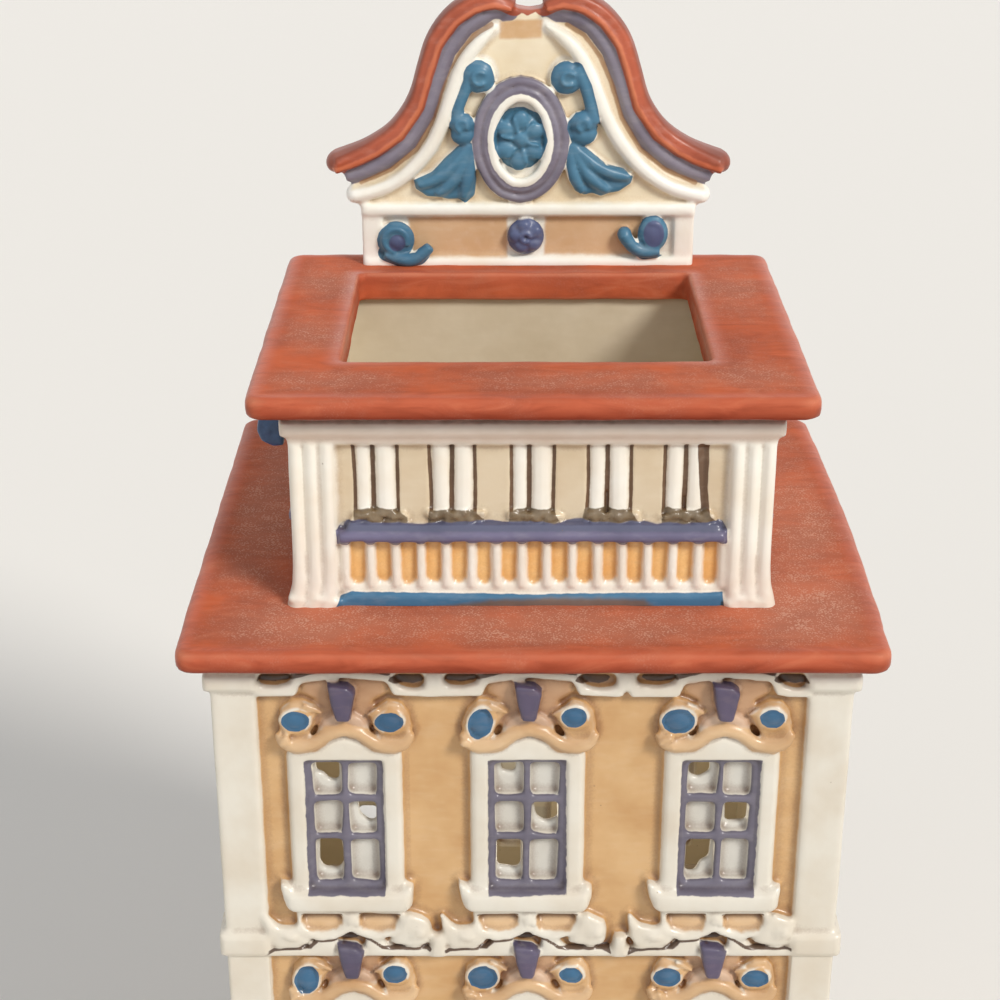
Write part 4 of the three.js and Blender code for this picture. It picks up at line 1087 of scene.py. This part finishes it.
def attic_ends(clay, half, draw, ends):
    """Reeded pilasters at both ends, with clay squeezed out at their feet, or plain strips on side walls."""
    for side in (-1, 1):
        if not ends:
            box_of(clay, side * (half - 2.0), side * half, 0.0, 24.5, -1.0, 0.8, 0.4)
            continue
        box_of(clay, side * 26.4, side * 32.5, 0.0, 24.5, -WALL - 1, 0.6, 0.4)
        for step in range(3):
            x = side * (27.5 + 2.1 * step)
            path = [(x + side * 0.55, -1.0), (x + side * 0.35, 1.2), (x, 3.4), (x, 12.0), (x, 24.0)]
            roll_of(clay, path, (1.6, 1.4, 1.05, 1.0, 1.0), 0.5, 1.15)
            for _ in range(3):
                ball_of(clay, x + draw.normal(0.3 * side, 0.7), draw.uniform(0.2, 1.1), 1.4, 0.9, 0.7, 0.8)


def attic_cornice(clay, reach):
    """A cove, a round band above it and a shaded fillet under the roof."""
    back = -WALL - 1
    box_of(clay, -reach + 1.3, reach - 1.3, 23.4, 25.4, back, 0.9, 0.5)
    for turn in (-1, 1):
        cove = [(-turn * (reach - 1.0), 24.6), (0, 24.6), (turn * (reach - 1.0), 24.6)]
        roll_of(clay, cove, (0.8, 0.8, 0.8), 0.7)
    box_of(clay, -reach, reach, 24.9, 27.4, back, 2.2, 1.1)
    box_of(clay, -reach + 1.2, reach - 1.2, 27.0, 28.8, back, 0.9, 0.3)


def baluster_pair(knife, lumps, areas, lines, bars, pair, draw):
    """Two half-round bars in a sunk slot, wavering brown lines beside them and lumps at their feet."""
    left, right = pair[0] - 0.1, pair[2] + 0.1
    slab_of(knife, rect(left, right, 13.0, 23.4), -0.7, 1.3)
    for a, b in zip(pair, pair[1:]):
        x, r = (a + b) / 2, (b - a) / 2 - 0.16
        path = [(x + draw.normal(0, 0.06), 13.0), (x, 18.0), (x + draw.normal(0, 0.06), 23.2)]
        roll_of(lumps, path, (r, r, r), -0.62, 0.75)
        bars.append(([(x, 14.2), (x, 23.4)], 2 * r - 0.25))
    for x in pair:
        wide = 0.66 if x == pair[1] else 0.5
        bend, turn, lean = draw.normal(0, 0.05), draw.uniform(0, 6.28), draw.normal(0, 0.03)
        spots = np.linspace(13.2, 23.5, 12)
        lines.append(([(x + bend * math.sin(turn + 0.5 * z) + lean * (z - 18) / 5, z) for z in spots], wide))
    x = pair[0] - 0.2
    while x < pair[2] + 1.2:
        r = draw.uniform(0.22, 0.6)
        ball_of(lumps, x, 12.5 + draw.uniform(0.0, 1.1), 0.1 + draw.uniform(0, 0.5), r, 0.8 * r, 0.8 * r)
        x += 0.4 * r
    heap = [
        (pair[0] - 0.5, 11.8), (pair[2] + 1.5, 11.8), (pair[2] + 0.7, 13.2), (pair[2], 14.0), (pair[1], 14.1),
        (pair[0] + 0.8, 14.2), (pair[0] - 0.3, 13.8),
    ]
    areas["olive"].append(shaky(heap, 0.2, draw))


def roll_and_ledge(clay, areas, inner, draw):
    """The purple roll under the balusters and the ledge that their feet stand on."""
    roll = [(u * inner, 10.3 + draw.normal(0, 0.07)) for u in (-1, -0.5, 0, 0.5, 1)]
    roll_of(clay, roll, (1.0, 1.05, 0.95, 1.05, 1.0), 1.0)
    ledge = [(1.1 - inner, 10.4), (inner - 0.4, 10.4), (inner - 0.6, 12.1), (1.2 - inner, 12.1)]
    slab_of(clay, ledge, -1.0, 1.2, 0.4)
    upper = [(x, 12.35 + draw.normal(0, 0.16)) for x in np.linspace(inner - 0.5, 1.1 - inner, 30)]
    lower = [(x, 9.2 + draw.normal(0, 0.09)) for x in np.linspace(-0.2 - inner, inner + 0.3, 24)]
    areas["purple"].append([*lower, (inner + 0.3, 11.3), *upper, (-0.4 - inner, 11.2)])


def flutes_and_foot(clay, knife, areas, inner, draw):
    """A row of orange flutes with white ribs between them, on a white band over the blue strip."""
    count = round((2 * inner - 4.3) / 3.43) + 1
    for x in np.linspace(2.5 - inner, inner - 1.8, count):
        low = 2.9 + draw.normal(0, 0.15)
        wide = 1.02 + draw.normal(0, 0.06)
        cup = [
            (x - wide, 9.8), (x - wide, low + 1.0), (x - 0.6, low + 0.2), (x, low), (x + 0.6, low + 0.2),
            (x + wide, low + 1.0), (x + wide, 9.8),
        ]
        flute = shaky(cup, 0.06, draw)
        areas["orange"].append(flute)
        slab_of(knife, flute, -0.1, 3.0)
    for x in np.linspace(0.8 - inner, inner - 0.1, count + 1):
        roll_of(clay, [(x, 2.6), (x, 6.0), (x, 9.8)], (0.75, 0.65, 0.6), 0.4)
    box_of(clay, -inner - 0.3, inner + 0.3, 1.5, 3.0, -1.0, 0.7, 0.5)
    left, right = -1.0 - inner, inner + 0.2
    strip = [(left, -1.0), (0.2 - inner, 1.2), (1.6 - inner, 1.85), (0, 1.5), (inner, 1.75), (right, -1.0)]
    slab_of(clay, strip, -1.0, 1.5, 0.6)
    left, right = -1.3 - inner, inner + 0.4
    areas["blue"].append(
        [(left, -1.0), (-inner, 1.3), (1.5 - inner, 1.95), (0, 1.55), (inner, 1.85), (right, -1.0)]
    )
    areas["umber"].append([(-15.0, -0.4), (-4.0, 1.0), (4.0, 1.2), (15.5, 0.9), (17.0, -0.4)])


def paint_attic(mesh, areas, lines, bars):
    """Keeps, for each coat of the attic's colours, how far inside it each point of a wall lies."""
    x, depth, z = points_of(mesh)
    purple = np.minimum(reach_of(x, z, areas["purple"]), depth - 0.1)
    shaft = reach_of(x, z, [], bars)
    keep(mesh, "cream", np.minimum.reduce([reach_of(x, z, areas["cream"]), -shaft, depth + 0.6, 1.0 - depth]))
    keep(mesh, "orange", np.minimum(reach_of(x, z, areas["orange"]), 1.2 - depth) - 0.05)
    keep(mesh, "rosy", np.minimum(z - 24.2, depth))
    keep(mesh, "brown", np.minimum(reach_of(x, z, [], lines), depth + 1.6))
    keep(mesh, "olive", np.minimum(reach_of(x, z, areas["olive"]), depth + 1.6))
    keep(mesh, "purple", purple)
    keep(mesh, "ledge", np.minimum(purple, z - 11.2))
    keep(mesh, "blue", np.minimum(reach_of(x, z, areas["blue"]), depth - 0.2))
    # Inner faces: bisque coloured darker as painted shade for the dim inside.
    keep(mesh, "bare_and_shade", -2.6 - depth)
    dirt = np.minimum(reach_of(x, z, areas["umber"]), depth - 0.2)
    # The fillet under the upper roof gets umber as painted shade.
    keep(mesh, "umber", np.maximum(dirt, np.minimum(z - 27.3, 1.9 - depth)))


def attic_wall(name, place, nodes, half, facet, pairs, ends=True):
    """One wall of the attic, in mm above the lower roof."""
    draw = np.random.default_rng(5)
    clay, knife, lumps = bmesh.new(), bmesh.new(), bmesh.new()
    areas = {key: [] for key in ("cream", "orange", "olive", "purple", "blue", "umber")}
    lines, bars = [], []
    inner = 26.2 if ends else half - 2.2
    box_of(clay, -half, half, -2.0, 30.0, -WALL - 1, 0.0)
    attic_ends(clay, half, draw, ends)
    attic_cornice(clay, half + 1.9 if ends else half)
    for pair in pairs:
        baluster_pair(knife, lumps, areas, lines, bars, pair, draw)
    lines.append(([(pairs[-1][1] + 2.0, 23.4), (pairs[-1][1] + 2.4, 18.0), (pairs[-1][2] + 0.1, 13.6)], 1.1))
    roll_and_ledge(clay, areas, inner, draw)
    flutes_and_foot(clay, knife, areas, inner, draw)
    areas["cream"].append(rect(-inner, inner, 12.0, 23.7))
    planes = [((0, WALL, 0), (0, 1, 0)), ((0, 0, 0), (0, 0, -1)), ((0, 0, 28.8), (0, 0, 1))]
    mesh = carved_and_pressed(clay, knife, lumps, facet, planes)
    hollows(mesh)
    paint_attic(mesh, areas, lines, bars)
    placed(mesh, name, place, "house", attic_paint, nodes)


def attic_place(turn, field):
    return Matrix.Rotation(turn, 4, "Z") @ Matrix.Translation((0, -field, ATTIC_FOOT))


SIDE_PAIRS = ((-16.9, -14.2, -11.0), (-2.7, -0.2, 3.0), (10.9, 13.7, 16.8))
ATTIC_FRONT, ATTIC_SIDE = 26.6, 31.8
ATTIC_NODES = ["attic_front", "attic_sill", "attic_base_strip"]
attic_wall("attic_front_skin", attic_place(0, ATTIC_FRONT), ATTIC_NODES, ATTIC_SIDE, 0.26, ATTIC_PAIRS)
attic_wall(
    "attic_rear_skin", attic_place(math.pi, ATTIC_FRONT), ["attic_rear"], ATTIC_SIDE, 0.34, ATTIC_PAIRS
)
for side, turn in (("left", -math.pi / 2), ("right", math.pi / 2)):
    place = attic_place(turn, ATTIC_SIDE)
    attic_wall(f"attic_{side}_skin", place, [f"attic_{side}"], 23.6, 0.34, SIDE_PAIRS, ends=False)


# Console: a small dark blue bracket under the upper roof at the left, pressed on by hand.
def plain_coat(name, colour, dark, gloss=0.45, coat=0.15, cell=0.0012):
    """One brushed coat of colour that varies a little in tone."""
    finish, tree, spot = new_finish(name)
    clouds = node(tree, "TexNoise", {"Vector": spot, "Scale": 1 / cell, "Detail": 4.0}).outputs[0]
    tone = node(tree, "MapRange", {"Value": clouds, "From Min": 0.35, "From Max": 0.7}).outputs[0]
    shade = node(tree, "Mix", {0: tone, 6: linear(colour), 7: linear(dark)}, data_type="RGBA").outputs[2]
    bump = node(tree, "Bump", {"Height": clouds, "Strength": 0.3, "Distance": 0.00005}).outputs[0]
    shader = node(
        tree, "BsdfPrincipled", {"Base Color": shade, "Roughness": gloss, "Normal": bump, "Coat Weight": coat}
    )
    node(tree, "OutputMaterial", {"Surface": shader.outputs[0]})
    return finish


console = bmesh.new()
slab_of(
    console,
    [
        (-33.9, 161.5), (-33.9, 154.0), (-35.4, 153.9), (-36.9, 154.7), (-37.5, 156.2), (-37.2, 158.0),
        (-36.3, 159.0), (-35.2, 159.6), (-35.0, 161.5),
    ],
    16.9,
    21.1,
    0.8,
    3,
)
ball_of(console, -35.9, 156.3, 19.0, 1.5, 1.6, 2.35)
mesh = cast(console, 0.25, 4, uneven=0.1)
console_blue = plain_coat("dark_blue_brushed_bisque", "#2c4a72", "#223a5c")
placed(mesh, "left_console_skin", Matrix.Identity(4), "house", console_blue, ["left_console"])


# Gable. A scrolled gable with a red coping, painted darker on its outer side as shade and with a painted
# highlight along its front roll, a purple band inside it, white scrolls, an oval cartouche with a blue
# rosette, blue sprigs at both sides, and a base with tan panels, a purple rosette and two blue scrolls.
COPING = [
    (29.3, 16.1), (27.4, 16.9), (23.8, 18.6), (20.0, 21.3), (17.1, 25.6), (15.8, 30.6), (14.4, 35.0),
    (11.6, 38.6), (8.2, 40.6), (4.8, 41.0), (2.2, 39.6),
]
COPING_FRONT = [
    (29.6, 15.2), (26.8, 16.0), (23.0, 17.7), (19.4, 20.3), (16.4, 24.6), (15.0, 29.4), (13.5, 33.9),
    (11.0, 37.3), (8.0, 39.3), (5.0, 40.0), (2.4, 39.1),
]
PURPLE_BAND = [
    (28.0, 13.7), (25.4, 14.5), (21.8, 16.2), (18.2, 19.2), (15.4, 23.7), (13.9, 28.4), (12.2, 33.0),
    (9.4, 36.6), (6.2, 38.4), (3.0, 38.7),
]
GROOVE = [
    (25.6, 12.9), (21.0, 14.9), (17.0, 18.1), (14.1, 22.9), (12.5, 28.0), (10.6, 32.2), (8.2, 35.3),
    (5.6, 36.9),
]
SCROLL_LEFT = [
    (-4.9, 36.6), (-6.6, 35.2), (-8.7, 33.0), (-10.4, 30.1), (-11.5, 26.9), (-12.6, 23.3), (-14.7, 18.5),
    (-18.4, 14.3), (-22.7, 11.6), (-26.9, 10.9),
]
SCROLL_RIGHT = [
    (2.4, 36.9), (4.4, 35.7), (6.7, 33.7), (8.7, 30.6), (10.2, 26.9), (11.5, 23.5), (14.0, 18.9),
    (18.2, 14.3), (22.8, 11.6), (26.9, 10.9),
]
LEAF_WEST = [
    (-9.4, 19.8), (-12.3, 17.1), (-14.9, 14.7), (-17.5, 13.5), (-17.3, 12.0), (-15.5, 10.8), (-13.6, 10.7),
    (-12.2, 10.3), (-10.8, 10.5), (-9.6, 9.9), (-8.3, 10.9), (-8.0, 13.5), (-8.3, 16.3), (-8.6, 19.4),
]
LEAF_EAST = [
    (7.0, 19.8), (9.1, 18.1), (11.9, 15.9), (14.6, 15.1), (16.0, 14.0), (15.8, 12.9), (13.9, 11.6),
    (12.4, 11.3), (11.1, 10.8), (9.8, 11.3), (8.6, 11.0), (7.2, 11.6), (6.2, 13.5), (5.9, 16.0), (6.1, 19.0),
]
FOLDS_WEST = (
    [(-8.9, 19.0), (-11.0, 16.0), (-14.0, 13.4), (-16.9, 12.6)],
    [(-8.8, 19.0), (-10.0, 15.4), (-12.0, 12.6), (-14.0, 11.2)],
    [(-8.5, 19.0), (-8.9, 15.6), (-9.4, 12.8), (-10.0, 10.6)],
)
FOLDS_EAST = (
    [(6.6, 19.0), (8.8, 16.8), (12.0, 14.5), (15.6, 13.9)],
    [(6.5, 19.0), (7.9, 15.9), (9.9, 13.3), (12.3, 11.8)],
    [(6.4, 19.0), (6.5, 16.0), (7.0, 13.6), (8.4, 11.6)],
)
GABLE_EDGE = [
    (25.5, -0.5), (25.5, 8.9), (26.6, 9.6), (27.1, 11.0), (26.9, 12.6), (28.2, 14.0), (29.2, 15.8),
    (27.4, 16.9), (23.8, 18.6), (20.0, 21.3), (17.1, 25.6), (15.8, 30.6), (14.4, 35.0), (11.6, 38.6),
    (8.2, 40.6), (4.8, 40.9), (2.0, 39.2),
]
gable_paint = painted_bisque(
    "hand_painted_gable_bisque",
    # The gable's white is a lighter copy of the house's white: painted light for the brighter light on the
    # gable.
    ("#fbfcf5", "#f3efe0"),
    [
        ("cream", "#f8ecd0", "#e4d0a8", 0.8, 0.25, 0.85),
        ("tan", "#e3bd90", "#cb9d69", 0.6, 0.2, 0.88),
        ("purple", "#94909f", "#676175", 0.2, 0.12, 0.97),
        ("red", "#c06244", "#92452f", 0.2, 0.1, 1.0),
        # Deep: the coping's outer side, painted darker as shade.
        ("deep", "#96482f", "#753724", 0.9, 0.25, 0.8),
        # A painted highlight along the coping's front roll.
        ("wear_and_sheen", "#e09068", "#cb6b49", 0.4, 0.2, 0.8),
        ("blue", "#5486a2", "#3c6b89", 0.1, 0.06, 1.0),
        ("violet", "#5f688d", "#485376", 0.3, 0.1, 1.0),
        ("line", "#b98a58", "#8f6238", 0.25, 0.15, 0.75),
    ],
    gloss=0.4,
    coat=0.1,
    # The hollows: painted shade together with dirty wash.
    wash_and_shade_colour="#a07c54",
    wash_and_shade_cover=0.6,
    pooled=0.5,
)


def mirrored(path, side):
    return [(side * x, z) for x, z in path]


def gable_field(clay, areas, paths):
    """The gable's wall with its coping, purple bands and white scrolls, and the base's mouldings."""
    slab_of(clay, GABLE_EDGE + [(0, 38.9)] + mirrored(GABLE_EDGE, -1)[::-1], -4.0, 0.0, 0.2)
    areas["red"].append([(-2.9, 42.0), (-2.3, 39.2), (-0.3, 38.0), (2.2, 39.2), (2.8, 42.0)])
    for side in (-1, 1):
        coping, front, band = (mirrored(path, side) for path in (COPING, COPING_FRONT, PURPLE_BAND))
        roll_of(clay, coping, (1.5, 1.35, 1.15, 1.1, 1.1, 1.1, 1.1, 1.1, 1.15, 1.15, 0.9), -1.5, 2.6)
        roll_of(clay, front, (0.9, 0.8, 0.6, 0.55, 0.55, 0.55, 0.55, 0.55, 0.6, 0.6, 0.4), 1.1, 1.0)
        ball_of(clay, side * 29.2, 15.9, -1.4, 1.9, 1.7, 3.0, side * 25)
        paths["red"] += [(coping, 3.2), (front, 1.6)]
        areas["red"].append(ring(side * 29.4, 15.9, 2.2, 2.0))
        # A painted highlight along the coping's front roll.
        paths["wear_and_sheen"].append((front, 0.7))
        roll_of(clay, band, (0.9, 1.1, 1.15, 1.15, 1.1, 1.1, 1.1, 1.0, 0.8, 0.5), 0.1, 0.8)
        paths["purple"].append((band, 2.7))
        paths["line"].append((mirrored(GROOVE, side), 0.7))
        ball_of(clay, side * 26.6, 11.0, -0.6, 1.5, 1.5, 2.2)
    roll_of(clay, SCROLL_LEFT, (0.35, 0.8, 1.1, 1.2, 1.25, 1.25, 1.25, 1.2, 1.15, 1.2), 0.45)
    roll_of(clay, SCROLL_RIGHT, (0.3, 0.9, 1.2, 1.25, 1.25, 1.25, 1.25, 1.2, 1.15, 1.2), 0.5)
    paths["white"] += [(SCROLL_LEFT, 2.2), (SCROLL_RIGHT, 2.2)]
    box_of(clay, -25.8, 25.8, 7.7, 9.9, -4.0, 1.5, 0.85)
    box_of(clay, -25.6, 25.6, -0.8, 1.2, -4.0, 1.3, 0.6)
    for side in (-1, 1):
        box_of(clay, side * 22.5, side * 25.7, 0.0, 8.5, -4.0, 0.9, 0.4)
    areas["tan"] += [
        [(-17.6, 1.2), (-3.2, 1.2), (-3.2, 7.5), (-18.6, 7.4)],
        [(2.6, 1.5), (17.4, 1.4), (17.6, 7.7), (2.6, 7.6)],
        [(-4.4, 37.4), (2.0, 37.6), (1.9, 34.9), (-4.4, 34.7)],
    ]
    areas["cream"].append(GABLE_EDGE + mirrored(GABLE_EDGE, -1)[::-1])


def cartouche(clay, knife, lumps, areas, draw):
    """The oval cartouche: a grooved purple ring, a thick white rim inside it and a rosette of soft petals."""
    x, z = -1.2, 19.7
    slab_of(clay, ring(x, z, 7.2, 9.5, sides=28), -1.0, 0.8, 0.4)
    for rx, rz, radius, depth in ((6.75, 9.05, 0.72, 0.95), (5.45, 7.7, 0.5, 1.35), (4.5, 6.6, 0.75, 1.3)):
        oval = shaky(ring(x, z, rx, rz, sides=28), 0.07, draw)
        roll_of(lumps, [*oval, oval[0]], [radius] * 29, depth)
    slab_of(knife, ring(x, z, 4.6, 6.7, sides=28), 0.35, 4.0)
    areas["purple"].append(ring(x, z, 7.4, 9.7, sides=28))
    areas["white"].append(ring(x, z, 5.0, 7.15, sides=28))
    heart = x - 0.1
    ball_of(lumps, heart, z, 0.7, 3.6, 4.3, 0.75)
    for step in range(6):
        a = 2 * math.pi * step / 6 + 0.5
        u, v = 2.45 * math.cos(a), 3.1 * math.sin(a)
        ball_of(lumps, heart + u, z + v, 1.1, 1.5 + draw.normal(0, 0.15), 1.35, 0.8, math.degrees(-a) + 15)
        curl = [(heart + k * math.cos(a + 0.35), z + 1.2 * k * math.sin(a + 0.35)) for k in (1.2, 2.2, 3.1)]
        roll_of(lumps, curl, (0.2, 0.3, 0.2), 1.75)
    ball_of(lumps, x + 0.1, z + 0.2, 1.6, 1.05, 1.15, 0.6)
    areas["blue"].append(shaky(ring(heart, z + 0.1, 4.0, 4.8, sides=22), 0.12, draw))


def sprigs(lumps, areas, paths, draw):
    """Sprigs: a roundel, a stem, a curled bud and a lobed leaf with veins, not alike at the two sides."""
    for x, z, rx, rz in ((-7.5, 29.3, 2.4, 2.5), (5.6, 29.1, 2.4, 2.5)):
        ball_of(lumps, x, z, 0.6, rx + 0.1, rz + 0.1, 1.3)
        areas["blue"].append(shaky(ring(x, z, rx, rz), 0.08, draw))
        areas["white"].append(ring(x + 0.1, z + 0.2, rx + 0.5, rz + 0.5))
    for x, z in ((-7.4, 29.2), (5.9, 29.1)):
        roll_of(lumps, curled(x, z, 1.05, 1.05, 0.5, 5.5), [0.32] * 9, 1.85)
    stems = (
        ([(-8.9, 28.6), (-9.8, 26.3), (-10.7, 24.0), (-10.8, 22.5)], (0.8, 0.75, 0.8, 0.9)),
        ([(7.2, 30.6), (8.5, 27.9), (9.4, 24.8), (9.9, 22.3)], (0.9, 0.95, 0.9, 1.0)),
    )
    for path, radii in stems:
        roll_of(lumps, path, radii, 0.85)
        paths["blue"].append((path, 1.9))
    for x, z, rx, rz in ((-10.1, 21.4, 1.95, 2.6), (8.2, 21.5, 2.3, 2.85)):
        ball_of(lumps, x, z + 0.9, 0.8, rx, rz * 0.62, 1.25)
        ball_of(lumps, x + 0.1, z - 1.0, 0.7, rx * 0.95, rz * 0.58, 1.15)
        roll_of(lumps, curled(x, z + 0.6, 0.9, 0.9, -0.6, 4.4), [0.32] * 9, 1.9)
        areas["blue"].append(shaky(ring(x, z, rx, rz), 0.08, draw))
    for leaf, folds in ((LEAF_WEST, FOLDS_WEST), (LEAF_EAST, FOLDS_EAST)):
        slab_of(lumps, leaf, -0.5, 1.0, 0.6, 3)
        for fold in folds:
            roll_of(lumps, fold, (0.5, 0.85, 1.15, 0.6), 0.95)
        areas["blue"].append(shaky(leaf, 0.08, draw))
        areas["white"].append([(x * 1.01, z + 0.25) for x, z in leaf])


def base_ornaments(lumps, areas, paths, draw):
    """On the gable's base: a purple rosette in the middle and a blue scroll with its tail at each side."""
    x, z = -0.35, 4.6
    ball_of(lumps, x, z, 0.8, 2.95, 2.95, 0.85)
    for step in range(5):
        a = 2 * math.pi * step / 5 + 0.5
        ball_of(lumps, x + 1.6 * math.cos(a), z + 1.6 * math.sin(a), 1.25, 1.15, 1.15, 0.75)
    roll_of(lumps, curled(x, z, 0.75, 0.75, 0, 5.4), [0.3] * 9, 1.95)
    areas["violet"].append(shaky(ring(x, z, 2.9, 2.95), 0.08, draw))
    x, z = -20.4, 4.1
    ball_of(lumps, x, z, 0.8, 2.9, 2.9, 1.2)
    roll_of(lumps, curled(x, z, 1.9, 1.9, -0.4, 4.6, 10), [0.55] * 10, 1.6)
    ball_of(lumps, -20.3, 3.9, 1.6, 1.2, 1.2, 0.7)
    tail_left = [(-22.2, 1.9), (-19.4, 0.8), (-16.9, 1.2), (-15.1, 3.1)]
    roll_of(lumps, tail_left, (0.8, 1.15, 1.15, 0.85), 1.3)
    areas["blue"].append(shaky(ring(x, z, 2.9, 2.9), 0.08, draw))
    areas["violet"].append(ring(-20.2, 3.8, 1.3, 1.35))
    x, z = 19.3, 5.0
    ball_of(lumps, x, z, 0.8, 2.4, 2.9, 1.3)
    roll_of(lumps, curled(x, z, 1.5, 1.9, 3.4, 8.2, 10), [0.4] * 10, 1.6)
    tail_right = [(20.4, 2.3), (18.0, 2.0), (15.9, 3.2), (14.8, 5.0)]
    roll_of(lumps, tail_right, (0.8, 1.05, 1.1, 1.1), 1.3)
    ball_of(lumps, 14.9, 5.0, 1.0, 1.15, 1.2, 1.2)
    areas["violet"].append(ring(19.4, 5.2, 1.6, 2.1))
    areas["blue"] += [shaky(ring(x, z, 2.4, 2.95), 0.08, draw), ring(14.9, 5.0, 1.2, 1.25)]
    paths["blue"] += [(tail_left, 2.2), (tail_right, 2.1)]


def paint_gable(mesh, areas, paths):
    """Keeps, for each coat of the gable's colours, how far inside it each point lies."""
    x, depth, z = points_of(mesh)
    reach = {key: reach_of(x, z, areas[key], paths[key]) for key in areas}
    front = depth + 0.3
    cream = np.minimum.reduce([reach["cream"], -reach["white"], z - 9.9, 0.9 - depth])
    keep(mesh, "cream", np.where(depth < -2, reach["cream"], cream))
    keep(mesh, "tan", np.minimum.reduce([reach["tan"], front, 0.9 - depth]))
    keep(mesh, "purple", np.minimum.reduce([reach["purple"], -reach["white"], depth + 0.2]))
    keep(mesh, "red", np.where(z > 13, reach["red"] - 0.1, -3))
    # Deep: the coping's outer side, painted darker as shade.
    keep(mesh, "deep", np.where(z > 13, np.minimum(reach["red"], -reach["cream"] - 0.5), -3))
    # A painted highlight along the coping's front roll.
    keep(mesh, "wear_and_sheen", np.minimum(reach["wear_and_sheen"], depth - 1.2))
    keep(mesh, "blue", np.minimum(reach["blue"], depth - 0.25))
    keep(mesh, "violet", np.minimum(reach["violet"], depth - 0.4))
    keep(mesh, "line", np.minimum.reduce([reach["line"], front, 0.6 - depth]))


def gable():
    """The whole gable, which stands at the back of the upper roof."""
    draw = np.random.default_rng(3)
    clay, lumps, knife = bmesh.new(), bmesh.new(), bmesh.new()
    areas = {
        key: [] for key in ("cream", "tan", "purple", "red", "wear_and_sheen", "blue", "violet", "line", "white")
    }
    paths = {key: [] for key in areas}
    gable_field(clay, areas, paths)
    cartouche(clay, knife, lumps, areas, draw)
    sprigs(lumps, areas, paths, draw)
    base_ornaments(lumps, areas, paths, draw)
    mesh = carved_and_pressed(clay, knife, lumps, 0.26, [((0, 0, 0), (0, 0, -1))])
    hollows(mesh)
    paint_gable(mesh, areas, paths)
    nodes = ["gable_wall", "gable_coping", "cartouche_ring", "cartouche_rosette", "base_rosette"]
    nodes += [f"{kind}_{side}" for kind in ("sprig", "base_scroll") for side in ("left", "right")]
    place = Matrix.Translation((0, 26.8, 165.2))
    placed(mesh, "gable_skin", place, "house", gable_paint, nodes)


gable()


# Floor of the house: a plain cast plate, left white.
clay = bmesh.new()
slab_of(clay, rect(-38.2, 38.2, -32.9, 32.9), 0.1, 5.0, 0.4)
mesh = cast(clay, 1.2, 4, uneven=0.15)
bare_bisque = plain_coat("bare_cast_bisque", "#f1ebdf", "#e2d8c6", 0.7, 0.0, 0.006)
placed(mesh, "floor_slab_skin", FLAT, "house", bare_bisque, ["floor_slab"])


# Tea light: a pressed aluminium cup, wax, a wick on its tin sustainer. It slides out at the rear doorway.
TEA_LIGHT_Y = 4


def turned(name, profile, node_names, finish, sides=96):
    """A piece turned about the tea light's axis from a closed profile of (radius, height) in mm."""
    made = bmesh.new()
    rings = []
    for r, z in profile:
        spots = ring(0, 0, r, r, sides=sides) if r else [(0, 0)]
        rings.append([made.verts.new((x, TEA_LIGHT_Y + y, z)) for x, y in spots])
    for low, high in zip(rings, rings[1:]):
        for i in range(sides):
            corners = [
                low[i % len(low)], low[(i + 1) % len(low)], high[(i + 1) % len(high)], high[i % len(high)]
            ]
            corners = list(dict.fromkeys(corners))
            if len(corners) > 2:
                made.faces.new(corners)
    bmesh.ops.recalc_face_normals(made, faces=made.faces)
    mesh = bpy.data.meshes.new(name)
    made.to_mesh(mesh)
    made.free()
    placed(mesh, name, Matrix.Identity(4), "tea_light", finish, node_names)


def metal(name, colour, rough):
    finish, tree, spot = new_finish(name)
    wear_and_sheen = node(tree, "TexNoise", {"Vector": spot, "Scale": 1 / 0.002, "Detail": 3.0}).outputs[0]
    rough = node(tree, "MapRange", {"Value": wear_and_sheen, "To Min": rough, "To Max": rough + 0.2}).outputs[0]
    bump = node(tree, "Bump", {"Height": wear_and_sheen, "Strength": 0.25, "Distance": 0.00008}).outputs[0]
    shader = node(
        tree,
        "BsdfPrincipled",
        {"Base Color": linear(colour), "Metallic": 1.0, "Roughness": rough, "Normal": bump},
    )
    node(tree, "OutputMaterial", {"Surface": shader.outputs[0]})
    return finish


turned(
    "tea_light_cup_shell",
    [
        (0, 5.0), (18.2, 5.0), (18.8, 5.3), (19.0, 6.0), (19.0, 19.6), (19.3, 19.8), (19.4, 20.2),
        (19.2, 20.5), (18.8, 20.4), (18.5, 19.8), (18.5, 6.2), (18.2, 5.6), (0, 5.5),
    ],
    ["tea_light_cup"],
    metal("pressed_aluminium", "#d7dadd", 0.28),
)
wax = plain_coat("paraffin_wax", "#f4f2ec", "#ebe8df", 0.35, 0.1, 0.004)
wax.node_tree.nodes["Principled BSDF"].inputs["Subsurface Weight"].default_value = 0.3
wax.node_tree.nodes["Principled BSDF"].inputs["Subsurface Scale"].default_value = 0.002
turned(
    "tea_light_wax_body",
    [
        (0, 5.9), (18.0, 5.9), (18.45, 6.4), (18.45, 16.7), (18.1, 17.0), (16.0, 16.7), (3.0, 16.5),
        (1.2, 16.7), (0, 16.7),
    ],
    ["tea_light_wax"],
    wax,
)
turned(
    "wick_sustainer_disc",
    [(0, 5.55), (6.0, 5.55), (6.0, 5.8), (1.4, 5.85), (1.2, 8.4), (0, 8.4)],
    ["wick_sustainer"],
    metal("tin_plate", "#b9bcbf", 0.35),
    48,
)
turned(
    "tea_light_wick_cord",
    [(0, 8.5), (0.68, 8.5), (0.7, 12.0), (0.66, 16.0), (0.7, 19.6), (0.5, 20.0), (0, 20.0)],
    ["tea_light_wick"],
    plain_coat("waxed_cotton", "#efe9d8", "#d8cdb2", 0.8, 0.0, 0.0004),
    24,
)
